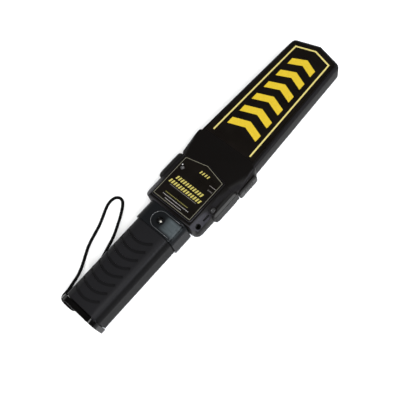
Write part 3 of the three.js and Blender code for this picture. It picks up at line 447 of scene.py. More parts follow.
@dataclass(frozen=True)
class CollarPolish:
    """Polished moulding: painted reflection towards the recess's open end, painted shade round its
    hole.

    Args:
        name: the material's name.
        colour: the tone outside the recess.
        floor: the painted reflection's tone on the recess floor.
        hole_shade: the painted shade's tone round the trimmer's hole.
        hole_y: the hole's place along Y.
        across: the painted reflection's stretch along X.
        along: the same along Y.
        heights: the same along Z.
        hole_shade_reach: the painted shade's reach round the hole.
        streak_scale: how the painted reflection's streaks are drawn out.
        streak_share: how uneven the painted reflection is.
        gloss: the roughness.
        shine: the specular level.
    """

    name: str = "collar_polish"
    colour: Colour = (0.0064, 0.0070, 0.0076)
    floor: Colour = (0.053, 0.063, 0.066)
    hole_shade: Colour = (0.002, 0.002, 0.002)
    hole_y: float = -0.0415
    across: Limits = (0.001, 0.013, 0.0225, 0.0265)
    along: Limits = (-0.0517, -0.0470, -0.0345, -0.0316)
    heights: Limits = (0.0348, 0.0360, 0.04145, 0.0417)
    hole_shade_reach: Limits = (-0.002, -0.001, 0.0050, 0.0064)
    streak_scale: Point = (0.12, 1.0, 1.0)
    streak_share: Pair = (0.62, 1.0)
    gloss: Pair = (0.16, 0.26)
    shine: float = 0.035

    def material(self) -> Material:
        """Builds the node material.

        Returns:
            The material.
        """
        shade = Shade(self.name)
        x, y, z = shade.axes("Object")
        sunk = shade.band(z, self.heights)
        streaks = shade.pattern(Pattern.STREAKS)
        drawn_out = shade.add("ShaderNodeMapping", vector=shade.places["Object"],
                              scale=self.streak_scale)
        shade.join(drawn_out.outputs["Vector"], streaks.node.inputs["Vector"])
        # Painted reflection: the recess floor takes a lighter, cooler tone in uneven streaks.
        uneven_painted_light = shade.product(sunk, shade.band(x, self.across), shade.band(y, self.along),
                             shade.spread(streaks, *self.streak_share))
        # Painted shade round the trimmer's hole, inside the recess.
        north = shade.maths("SUBTRACT", y, self.hole_y)
        squares = shade.maths("ADD", shade.product(x, x), shade.product(north, north))
        dark = shade.product(shade.band(shade.maths("SQRT", squares), self.hole_shade_reach), sunk)
        tone = shade.maths("MULTIPLY_ADD", shade.maths("SUBTRACT", uneven_painted_light, dark), 0.5, 0.5)
        shade.tint(tone, self.hole_shade, self.colour, self.floor, ends=(0.0, 1.0))
        shade.rough(shade.pattern(Pattern.SMEARS), *self.gloss)
        shade.relief(shade.pattern(Pattern.WAVINESS), *WAVE_RELIEF)
        return shade.finished(self.shine)


@dataclass(frozen=True)
class GripRubber:
    """Dull rubber, rubbed smoother outside, with painted shade in its grooves, at its sides and
    below.

    Args:
        name: the material's name.
        groove: the painted shade's tone, in the grooves, at the sides and below.
        colour: the tone of the upward faces outside the grooves.
        groove_shading: how much of that tone the painted shade in the grooves takes away.
        upper: the upward share of the direction of the faces that escape the painted shade.
        wear: how uneven the wear is.
        gloss: the roughness.
        grain: its grain's depth in metres and strength.
        shine: the specular level.
    """

    name: str = "grip_rubber"
    groove: Colour = (0.0050, 0.0049, 0.0050)
    colour: Colour = (0.0106, 0.0104, 0.0112)
    groove_shading: float = 0.6
    upper: Limits = (0.6, 0.82, 1.4, 1.6)
    wear: Pair = (0.72, 1.0)
    gloss: Pair = (0.27, 0.33)
    grain: Pair = (0.00005, 0.5)
    shine: float = 0.022

    def material(self) -> Material:
        """Builds the node material.

        Returns:
            The material.
        """
        shade = Shade(self.name)
        broad = shade.pattern(Pattern.WEAR)
        depth = shade.add("ShaderNodeAttribute", attribute_name=GROOVE).outputs["Fac"]
        _, _, upward = shade.axes("Normal")
        # Painted shade: the grooves, the sides and the underside take the darker tone.
        groove_shade = shade.maths("MULTIPLY", depth, self.groove_shading)
        uneven_painted_light = shade.maths("SUBTRACT", shade.spread(broad, *self.wear), groove_shade)
        shade.tint(shade.product(uneven_painted_light, shade.band(upward, self.upper)), self.groove, self.colour,
                   ends=(0.0, 1.0))
        shade.rough(broad, *self.gloss)
        shade.relief(shade.pattern(Pattern.RUBBER_GRAIN), *self.grain)
        return shade.finished(self.shine)


@dataclass(frozen=True)
class BraidedCord:
    """Braided cord: two crossing sets of strands, read from the piece's own UV map.

    Args:
        name: the material's name.
        colour: the yarn's tone.
        strands: strands round the cord.
        turns: the weave's phase in a metre of cord.
        tones: the shares of the yarn's tone between the strands and on them.
        gloss: the roughness.
        ridge: a strand's height in metres and its strength.
        shine: the specular level.
    """

    name: str = "strap_braid"
    colour: Colour = (0.002, 0.002, 0.0021)
    strands: float = 8.0
    turns: float = 2600.0
    tones: Pair = (0.5, 1.7)
    gloss: Pair = (0.75, 0.9)
    ridge: Pair = (0.00018, 0.8)
    shine: float = 0.07

    def material(self) -> Material:
        """Builds the node material.

        Returns:
            The material.
        """
        shade = Shade(self.name)
        u, v, _ = shade.axes("UV")
        around = shade.maths("MULTIPLY", u, self.strands * 2 * math.pi)
        along = shade.maths("MULTIPLY", v, self.turns)
        crossing = (shade.maths("SINE", shade.maths(way, around, along))
                    for way in ("ADD", "SUBTRACT"))
        woven = shade.maths("MULTIPLY_ADD", shade.product(*crossing), 0.5, 0.5)
        shade.tint(woven, *(toned(self.colour, share) for share in self.tones))
        shade.rough(woven, *self.gloss)
        shade.relief(woven, *self.ridge)
        return shade.finished(self.shine)


class Finishes:
    """Every material: by its slot or its own finish, and by its ink."""

    def __init__(self) -> None:
        """Builds the materials."""
        black = (0.0020, 0.0019, 0.0018)
        made = {
            "casing": CasingMoulding(),
            "collar": CollarPolish(),
            "grip": GripRubber(),
            "cord": BraidedCord(),
            "cap": moulded("cap_moulding", black, 0.09, 0.1, 0.000004),
            "socket": moulded("socket_moulding", black, 0.24, 0.05),
            "control": moulded("control_moulding", (0.006, 0.006, 0.0066), 0.34, 0.1),
            "bar": moulded("bar_moulding", (0.022, 0.0216, 0.0208), 0.34, 0.06),
            "button": moulded("button_moulding", (0.022, 0.0215, 0.021), 0.32, 0.12),
            "electronic": moulded("component_moulding", (0.02, 0.02, 0.02), 0.5,
                                  grain=Pattern.COARSE_GRAIN),
            "white_plastic": moulded("white_moulding", (0.68, 0.66, 0.6), 0.5),
            "label": polished("label_film", (0.0036, 0.0027, 0.0020), 0.3, 0.04, 0.2),
            "rim": polished("rim_polish", (0.05, 0.052, 0.053), 0.25),
            "red_wire": polished("red_insulation", (0.42, 0.02, 0.02), 0.4),
            "black_wire": polished("black_insulation", (0.015, 0.015, 0.015), 0.4),
            "steel": bare_metal("plated_steel", (0.58, 0.58, 0.57), 0.3),
            "brass": bare_metal("turned_brass", (0.72, 0.52, 0.22), 0.25),
            "cell": bare_metal("battery_jacket", (0.2, 0.21, 0.23), 0.4),
            "copper": PlainFinish(
                "coil_winding", (0.62, 0.27, 0.11), (Pattern.WINDING, 0.55, 1.15),
                (Pattern.WINDING, 0.28, 0.42), (Pattern.WINDING, 0.0001, 0.7), metal=0.85),
            "board": PlainFinish(
                "board_laminate", (0.03, 0.13, 0.05), (Pattern.WEAVE, 0.85, 1.15),
                (Pattern.RESIST, 0.3, 0.45), (Pattern.WEAVE, 0.00001, 0.4)),
            "lens": PlainFinish("lamp_lens", (0.05, 0.048, 0.048), (Pattern.CLOUD, 0.6, 1.4),
                                (Pattern.CLOUD, 0.3, 0.38), shine=0.3),
            "paper": PlainFinish("paper", (0.97, 0.97, 0.97), (Pattern.FIBRE, 0.995, 1.0),
                                 (Pattern.FIBRE, 0.85, 0.95), shine=0.1),
            **{ink: printed_ink(ink) for ink in Ink},
        }
        self.materials = {key: finish.material() for key, finish in made.items()}

    def __getitem__(self, key: str | Ink) -> Material:
        """Returns the material of a slot, a finish or an ink."""
        return self.materials[key]


def written(name: str, work: Work) -> Mesh:
    """Turns a mesh under construction into a mesh.

    Args:
        name: the mesh's name.
        work: the construction, which is freed.

    Returns:
        The mesh.
    """
    mesh = bpy.data.meshes.new(name)
    work.to_mesh(mesh)
    work.free()
    return mesh


def mesh_from(name: str, build: Build, smooth: bool = False) -> Mesh:
    """Fills a mesh through bmesh, merges its doubles and turns its faces outwards.

    Args:
        name: the mesh's name.
        build: adds the geometry.
        smooth: whether its faces are shaded smooth.

    Returns:
        The mesh.
    """
    work = bmesh.new()
    build(work)
    bmesh.ops.remove_doubles(work, verts=work.verts, dist=SOLID_MERGE)
    bmesh.ops.recalc_face_normals(work, faces=work.faces)
    for face in work.faces:
        face.smooth = smooth
    return written(name, work)


def new_piece(name: str, mesh: Mesh, material: Material) -> Piece:
    """Makes an object at the origin from a mesh.

    Args:
        name: the piece's name.
        mesh: its mesh, in the wand's frame.
        material: its one material.

    Returns:
        The object, linked to the scene.
    """
    mesh.materials.clear()
    mesh.materials.append(material)
    piece = bpy.data.objects.new(name, mesh)
    bpy.context.scene.collection.objects.link(piece)
    return piece


def solid(name: str, material: Material, build: Build, smooth: bool = False) -> Piece:
    """Returns a new piece whose mesh is filled through bmesh."""
    return new_piece(name, mesh_from(name, build, smooth), material)


def bake_modifiers(piece: Piece) -> None:
    """Turns a piece's evaluated shape into its plain mesh and drops its modifiers.

    Args:
        piece: the piece.
    """
    bpy.context.view_layer.update()
    evaluated = piece.evaluated_get(bpy.context.evaluated_depsgraph_get())
    mesh = bpy.data.meshes.new_from_object(evaluated)
    mesh.name = piece.name
    piece.modifiers.clear()
    piece.data = mesh


def break_edges(piece: Piece, width: float, segments: int, angle: float) -> None:
    """Rounds a piece's sharp edges.

    Args:
        piece: the piece.
        width: how far the edges are broken, in metres.
        segments: facets on each.
        angle: edges sharper than this, in degrees, are broken.
    """
    broken = piece.modifiers.new("broken_edges", "BEVEL")
    broken.width = width
    broken.segments = segments
    broken.limit_method = "ANGLE"
    broken.angle_limit = math.radians(angle)
    bake_modifiers(piece)


def carve(piece: Piece, cutter: Piece) -> None:
    """Cuts one solid out of a piece.

    Args:
        piece: the piece.
        cutter: what is cut out; it is removed.
    """
    cut = piece.modifiers.new("cut", "BOOLEAN")
    cut.object = cutter
    cut.solver = "EXACT"
    bake_modifiers(piece)
    bpy.data.objects.remove(cutter)


def soften(piece: Piece, angle: float) -> None:
    """Shades a piece smooth, keeps its real edges and lets its flats rule the normals.

    Args:
        piece: the piece.
        angle: edges sharper than this, in degrees, stay sharp.
    """
    piece.data.shade_smooth()
    piece.data.set_sharp_from_angle(angle=math.radians(angle))
    weigh = piece.modifiers.new("weigh", "WEIGHTED_NORMAL")
    weigh.keep_sharp = True
    weigh.weight = FLATS_WEIGHT
    bake_modifiers(piece)


def refined(node: str, material: Material, edge: float, prepare: Build | None) -> Piece:
    """Copies a CAD node as a merged, softly shaded piece.

    Args:
        node: the CAD node.
        material: the piece's material.
        edge: how far its sharp edges are broken, in metres.
        prepare: works on the merged mesh first.

    Returns:
        The piece.
    """
    name = f"{node}_piece"
    work = bmesh.new()
    work.from_mesh(frame["nodes"][node].data)
    bmesh.ops.remove_doubles(work, verts=work.verts, dist=CAD_MERGE)
    bmesh.ops.dissolve_limit(work, angle_limit=CAD_FLAT, verts=work.verts, edges=work.edges)
    if prepare:
        prepare(work)
    mesh = written(name, work)
    if "custom_normal" in mesh.attributes:
        mesh.attributes.remove(mesh.attributes["custom_normal"])
    piece = new_piece(name, mesh, material)
    if edge:
        break_edges(piece, edge, EDGE_FACETS, EDGE_ANGLE)
    soften(piece, EDGE_ANGLE)
    return piece


def settle(piece: Piece, slot: str, body: str, *nodes: str) -> None:
    """Hides the CAD nodes that a finished piece stands for, gives it its body and logs it.

    Args:
        piece: the piece.
        slot: its material slot; not used.
        body: what it rides on.
        nodes: the CAD nodes that it replaces, if any.
    """
    if nodes:
        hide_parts(*nodes)
    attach(piece, body)
    log.info("%s: %d faces, on %s", piece.name, len(piece.data.polygons), body)


def wall(work: Work, first: Sequence[Corner], second: Sequence[Corner]) -> list[bmesh.types.BMFace]:
    """Joins two rings of corners by faces; a ring of one corner is a point.

    Args:
        work: the mesh under construction.
        first: one ring.
        second: the other.

    Returns:
        The faces, in the rings' order.
    """
    count = max(len(first), len(second))
    faces = []
    for k in range(count):
        n = (k + 1) % count
        loop = (first[k % len(first)], first[n % len(first)], second[n % len(second)],
                second[k % len(second)])
        faces.append(work.faces.new(list(dict.fromkeys(loop))))
    return faces


def prism(work: Work, outline: Outline, low: float, high: float) -> None:
    """Adds a closed prism over a plan outline.

    Args:
        work: the mesh under construction.
        outline: points in X and Y.
        low: its underside.
        high: its top.
    """
    lower, upper = ([work.verts.new((x, y, z)) for x, y in outline] for z in (low, high))
    work.faces.new(lower[::-1])
    work.faces.new(upper)
    wall(work, lower, upper)


def ribbon(work: Work, line: Outline, width: float, low: float, high: float, closed: bool) -> None:
    """Adds a line in the plane as a thin closed solid, with mitred corners.

    Args:
        work: the mesh under construction.
        line: the middle of the line.
        width: its full width.
        low: its underside.
        high: its top.
        closed: whether its ends meet.
    """
    points = [Vector(p) for p in line]
    count = len(points)
    sections = []
    for i, here in enumerate(points):
        before = points[i - 1] if closed or i > 0 else here
        after = points[(i + 1) % count] if closed or i < count - 1 else here
        arriving = (here - before).normalized() if here != before else (after - here).normalized()
        leaving = (after - here).normalized() if here != after else arriving
        mitre = Vector((-arriving.y - leaving.y, arriving.x + leaving.x))
        shift = mitre * (width / 2 / (1 + arriving.dot(leaving)))
        near, far = here + shift, here - shift
        sections.append([work.verts.new((*place, z)) for place, z in (
            (near, low), (far, low), (far, high), (near, high))])
    for first, second in zip(sections, sections[1:] + sections[:closed]):
        wall(work, first, second)
    if not closed:
        work.faces.new(sections[0])
        work.faces.new(sections[-1])


def around(count: int) -> list[Pair]:
    """Returns the cosine and sine of evenly spaced turns."""
    turns = (2 * math.pi * k / count for k in range(count))
    return [(math.cos(turn), math.sin(turn)) for turn in turns]


def revolved(work: Work, profile: Outline, place: Matrix, sides: int = 40) -> None:
    """Adds a turned solid.

    Args:
        work: the mesh under construction.
        profile: radius and height pairs, from the axis round the outside and back to the axis.
        place: puts the axis, Z, where it belongs.
        sides: facets round it.
    """
    rings = [[work.verts.new(place @ Vector((radius * x, radius * y, height)))
              for x, y in (around(sides) if radius else [(1.0, 0.0)])]
             for radius, height in profile]
    for lower, upper in zip(rings, rings[1:]):
        wall(work, lower, upper)


def dome(radius: float, foot: float, top: float, steps: int = 10) -> list[Pair]:
    """Returns a profile's quarter ellipse, from its foot at full radius to the axis.

    Args:
        radius: the radius at the foot.
        foot: the height where it starts.
        top: the height at the axis.
        steps: facets.

    Returns:
        Radius and height pairs.
    """
    quarter = [math.pi / 2 * k / steps for k in range(steps)]
    rise = [(radius * math.cos(t), foot + (top - foot) * math.sin(t)) for t in quarter]
    return rise + [(0.0, top)]


def tube(name: str, line: Sequence[Vector], radius: float, sides: int) -> Mesh:
    """Sweeps a round section along a line, with closed ends and a UV map in metres.

    Args:
        name: the mesh's name.
        line: the centreline.
        radius: the section's radius.
        sides: facets round it.

    Returns:
        The mesh.
    """
    work = bmesh.new()
    layer = work.loops.layers.uv.new("UVMap")
    up = Vector((0.0, 0.0, 1.0))
    rings: list[list[Corner]] = []
    reach = [0.0]
    for i, here in enumerate(line):
        ahead = (line[min(i + 1, len(line) - 1)] - line[max(i - 1, 0)]).normalized()
        side = ahead.cross(up).normalized()
        up = side.cross(ahead).normalized()
        if i:
            reach.append(reach[-1] + (here - line[i - 1]).length)
        rings.append([work.verts.new(here + (side * x + up * y) * radius)
                      for x, y in around(sides)])
    for i, (first, second) in enumerate(zip(rings, rings[1:])):
        for k, face in enumerate(wall(work, first, second)):
            face.smooth = True
            for loop, (u, v) in zip(face.loops, ((k, i), (k + 1, i), (k + 1, i + 1), (k, i + 1))):
                loop[layer].uv = (u / sides, reach[v])
    work.faces.new(rings[0][::-1])
    work.faces.new(rings[-1])
    bmesh.ops.recalc_face_normals(work, faces=work.faces)
    return written(name, work)


def span_point(a: Vector, b: Vector, c: Vector, d: Vector, t: float) -> Vector:
    """Returns a point between b and c on the centripetal curve through four points.

    Args:
        a: the point before.
        b: the span's start.
        c: the span's end.
        d: the point after.
        t: the share of the span.

    Returns:
        The point.
    """
    first, middle, last = (math.sqrt(step.length) for step in (b - a, c - b, d - c))
    leave = ((b - a) / first - (c - a) / (first + middle) + (c - b) / middle) * middle
    arrive = ((c - b) / middle - (d - b) / (middle + last) + (d - c) / last) * middle
    bend = b * 2 - c * 2 + leave + arrive
    lean = c * 3 - b * 3 - leave * 2 - arrive
    return ((bend * t + lean) * t + leave) * t + b


@dataclass(frozen=True)
class RoundedBar:
    """The rounded bar along Y that a piece of the handle keeps to on its outside.

    Args:
        half_width: half its width.
        half_height: half its height.
        corner: the radius of its long edges.
        middle: the height of its axis.
        touch: how far off a place still counts as on the outside.
        cuts: new corners on each facet of its rounded edges.
        reach: how deep under the outside new corners are made.
        facing: how nearly a face looks outwards to count as the outside.
    """

    half_width: float
    half_height: float
    corner: float = 12.0 * MM
    middle: float = 21.5 * MM
    touch: float = 0.02 * MM
    cuts: int = 3
    reach: float = 2.5 * MM
    facing: float = 0.9

    def past_flats(self, place: Vector) -> Pair:
        """Returns how far a place lies past the flats' ends, across and up."""
        across = abs(place.x) - (self.half_width - self.corner)
        return across, abs(place.z - self.middle) - (self.half_height - self.corner)

    def depth(self, place: Vector) -> float:
        """Returns how deep a place lies under the bar's outside."""
        across, up = self.past_flats(place)
        return self.corner - math.hypot(max(across, 0.0), max(up, 0.0)) - min(max(across, up), 0.0)

    def outward(self, place: Vector) -> Vector:
        """Returns the outside's direction nearest to a place.

        Args:
            place: the place.

        Returns:
            The direction, of length 1.
        """
        across, up = self.past_flats(place)
        if across <= 0 or up <= 0:
            across, up = (1.0, 0.0) if across > up else (0.0, 1.0)
        signed = math.copysign(across, place.x), 0.0, math.copysign(up, place.z - self.middle)
        return Vector(signed).normalized()

    def round_out(self, work: Work) -> None:
        """Gives the rounded edges more facets, on their true round.

        Args:
            work: the piece's mesh.
        """
        chords, levels = [], []
        for edge in work.edges:
            start, end = (vertex.co for vertex in edge.verts)
            level = self.depth(start)
            crosswise = abs(start.y - end.y) < self.touch
            even = abs(level - self.depth(end)) < self.touch
            sinks = self.depth((start + end) / 2) > level + self.touch / 2
            if crosswise and even and sinks and level < self.reach:
                chords.append(edge)
                levels.append(level)
        made = bmesh.ops.subdivide_edges(work, edges=chords, cuts=self.cuts, use_grid_fill=True)
        for vertex in {part for part in made["geom_inner"] if isinstance(part, Corner)}:
            here = self.depth(vertex.co)
            level = min(levels, key=lambda value: abs(here - value))
            vertex.co += self.outward(vertex.co) * (here - level)

    def true_normals(self, piece: Piece) -> None:
        """Turns the normals of a piece's outside to the bar's own, so that no facet shows.

        Args:
            piece: the piece.
        """
        mesh = piece.data
        normals = [corner.vector.copy() for corner in mesh.corner_normals]
        for face in mesh.polygons:
            for index in face.loop_indices:
                place = mesh.vertices[mesh.loops[index].vertex_index].co
                outward = self.outward(place)
                outside = abs(self.depth(place)) < self.touch
                if outside and face.normal.dot(outward) > self.facing:
                    normals[index] = outward
        mesh.normals_split_custom_set(normals)

    def mark_depth(self, piece: Piece, full: float) -> None:
        """Writes on each of a piece's corners how deep it lies, for the painted shade in its
        grooves.

        Args:
            piece: the piece.
            full: the depth that counts as 1.
        """
        layer = piece.data.attributes.new(GROOVE, "FLOAT", "POINT")
        for vertex, value in zip(piece.data.vertices, layer.data):
            value.value = min(1.0, max(0.0, self.depth(vertex.co) / full))


class CopyTree:
    """A geometry tree that copies a model, makes the copies real and gives them their finish."""

    def __init__(self, name: str, inputs: dict[str, str]) -> None:
        """Builds the tree's end; the copies' places and model are linked by each kind of tree.

        Args:
            name: the tree's name.
            inputs: its inputs besides the geometry and the finish, with their kinds.
        """
        self.tree = bpy.data.node_groups.new(name, "GeometryNodeTree")
        titles = {"Geometry": "Geometry", **inputs, "Finish": "Material"}
        self.keys = {title: self.socket(title, "INPUT", kind) for title, kind in titles.items()}
        self.socket("Geometry", "OUTPUT", "Geometry")
        self.given = self.add("NodeGroupInput", {}).outputs
        self.copies = self.add("GeometryNodeInstanceOnPoints", {})
        real = self.add("GeometryNodeRealizeInstances",
                        {"Geometry": self.copies.outputs["Instances"]})
        cover = self.add("GeometryNodeSetMaterial", {"Geometry": real.outputs["Geometry"],
                                                     "Material": self.given["Finish"]})
        self.add("NodeGroupOutput", {"Geometry": cover.outputs["Geometry"]})

    def socket(self, title: str, way: str, kind: str) -> str:
        """Adds an input or an output to the tree and returns its identifier."""
        return self.tree.interface.new_socket(
            title, in_out=way, socket_type=f"NodeSocket{kind}").identifier

    def add(self, kind: str, sources: dict[str | int, Socket], **values: object) -> Node:
        """Adds a node to the tree.

        Args:
            kind: its type.
            sources: what each of its inputs is linked to.
            values: its properties.

        Returns:
            The node.
        """
        node = self.tree.nodes.new(kind)
        for key, value in values.items():
            setattr(node, key, value)
        for key, source in sources.items():
            self.tree.links.new(source, node.inputs[key])
        return node

    def run(self, piece: Piece, **values: object) -> None:
        """Runs the tree on a piece, which becomes the plain set of copies.

        Args:
            piece: the piece.
            values: the tree's inputs.
        """
        copies = piece.modifiers.new("copies", "NODES")
        copies.node_group = self.tree
        for title, value in {**values, "Finish": piece.data.materials[0]}.items():
            copies[self.keys[title]] = value
        bake_modifiers(piece)


class RowTree(CopyTree):
    """Repeats a piece in a row, narrowing it evenly from first to last."""

    def __init__(self) -> None:
        """Builds the tree once; each row gets its own modifier on it."""
        super().__init__("repeat_in_a_row", {"Count": "Int", "Step": "Vector", "End": "Vector"})
        given, copies = self.given, self.copies.inputs
        line = self.add("GeometryNodeMeshLine", {"Count": given["Count"], "Offset": given["Step"]})
        index = self.add("GeometryNodeInputIndex", {})
        last = self.add("ShaderNodeMath", {0: given["Count"]}, operation="SUBTRACT")
        last.inputs[1].default_value = 1.0
        share = self.add("ShaderNodeMath", {0: index.outputs[0], 1: last.outputs[0]},
                         operation="DIVIDE")
        scale = self.add("ShaderNodeMix", {"Factor": share.outputs[0]}, data_type="VECTOR")
        _, first, end = (socket for socket in scale.inputs if socket.type == "VECTOR")
        first.default_value = FULL_SIZE
        (mixed,) = (socket for socket in scale.outputs if socket.type == "VECTOR")
        for source, target in ((given["End"], end), (line.outputs["Mesh"], copies["Points"]),
                               (given["Geometry"], copies["Instance"]), (mixed, copies["Scale"])):
            self.tree.links.new(source, target)

    def lay(self, piece: Piece, count: int, step: Point, start: Point,
            end_scale: Point = FULL_SIZE) -> None:
        """Repeats a piece in a row, from a start; its last copy's scale is given."""
        self.run(piece, Count=count, Step=step, End=end_scale)
        piece.data.transform(Matrix.Translation(start))


class SpotTree(CopyTree):
    """Sets a copy of one piece on every corner of a mesh of places."""

    def __init__(self) -> None:
        """Builds the tree."""
        super().__init__("set_on_places", {"Model": "Object"})
        model = self.add("GeometryNodeObjectInfo", {"Object": self.given["Model"]})
        self.tree.links.new(self.given["Geometry"], self.copies.inputs["Points"])
        self.tree.links.new(model.outputs["Geometry"], self.copies.inputs["Instance"])

    def lay(self, name: str, model: Piece, places: Sequence[Point]) -> Piece:
        """Sets one model on every place and returns the set as a plain piece.

        Args:
            name: the piece's name.
            model: what is repeated, round the origin; it is removed.
            places: where the copies go.

        Returns:
            The piece.
        """
        mesh = bpy.data.meshes.new(name)
        mesh.from_pydata(places, [], [])
        piece = new_piece(name, mesh, model.data.materials[0])
        self.run(piece, Model=model)
        bpy.data.objects.remove(model)
        return piece


@dataclass
class Studio:
    """The camera, the pale floor and the soft lights.

    A lamp has a name, a place, an aim, the length of its side, its watts and its tint.
    """

    finishes: Finishes
    eye: Point = (0.27732, -0.13702, 0.64716)
    right: Point = (0.73259917, 0.66173393, -0.15939465)
    down: Point = (0.56198486, -0.7201686, -0.40685403)
    ahead: Point = (-0.38402014, 0.20848355, -0.89947937)
    focal_share: float = 1.5484725
    sensor: float = 36.0
    clip_start: float = 0.01
    floor_half: float = 3.0
    floor_drop: float = 0.0002
    surround: float = 0.06
    lamps: Sequence[tuple[str, Point, Point, float, float, Colour]] = (
        ("top_light", (0.9, -0.5, 1.9), (0.0, 0.0, 0.02), 0.9, 50.0, WHITE_LIGHT),
        ("side_light", (1.3, 0.2, 0.95), (0.0, 0.0, 0.02), 0.5, 22.0, (0.9, 0.93, 1.0)),
        ("near_light", (0.2, -1.7, 0.9), (0.0, 0.0, 0.02), 1.3, 8.0, WHITE_LIGHT),
        ("far_light", (0.5, 1.8, 0.9), (0.0, 0.05, 0.02), 1.3, 12.0, WHITE_LIGHT),
        ("left_light", (-1.9, -0.4, 0.75), (0.0, 0.0, 0.0), 1.3, 20.0, WHITE_LIGHT),
    )

    def camera(self) -> None:
        """Makes the camera at the photograph's viewing angle."""
        data = bpy.data.cameras.new("camera")
        data.sensor_width = self.sensor
        data.lens = self.sensor * self.focal_share
        data.clip_start = self.clip_start
        camera = bpy.data.objects.new("camera", data)
        columns = (Vector(self.right), -Vector(self.down), -Vector(self.ahead))
        turn = Matrix(columns).transposed().to_4x4()
        camera.matrix_world = Matrix.Translation(self.eye) @ turn
        bpy.context.scene.collection.objects.link(camera)
        bpy.context.scene.camera = camera

    def floor(self) -> None:
        """Lays the paper under the wand."""
        half = self.floor_half
        corners = ((-half, -half), (half, -half), (half, half), (-half, half))
        solid("floor", self.finishes["paper"], lambda work: work.faces.new(
            [work.verts.new((x, y, -self.floor_drop)) for x, y in corners]))

    def lights(self) -> None:
        """Hangs the soft lights and sets the surround and a plain view of the tones."""
        scene = bpy.context.scene
        for name, place, aim, size, power, colour in self.lamps:
            data = bpy.data.lights.new(name, "AREA")
            data.size = size
            data.energy = power
            data.color = colour
            light = bpy.data.objects.new(name, data)
            light.location = place
            towards = Vector(aim) - Vector(place)
            light.rotation_euler = towards.to_track_quat("-Z", "Y").to_euler()
            scene.collection.objects.link(light)
        scene.world = bpy.data.worlds.new("surround")
        scene.world.use_nodes = True
        sky = scene.world.node_tree.nodes["Background"].inputs
        sky["Color"].default_value = (*WHITE_LIGHT, 1.0)
        sky["Strength"].default_value = self.surround
        scene.view_settings.view_transform = "Standard"


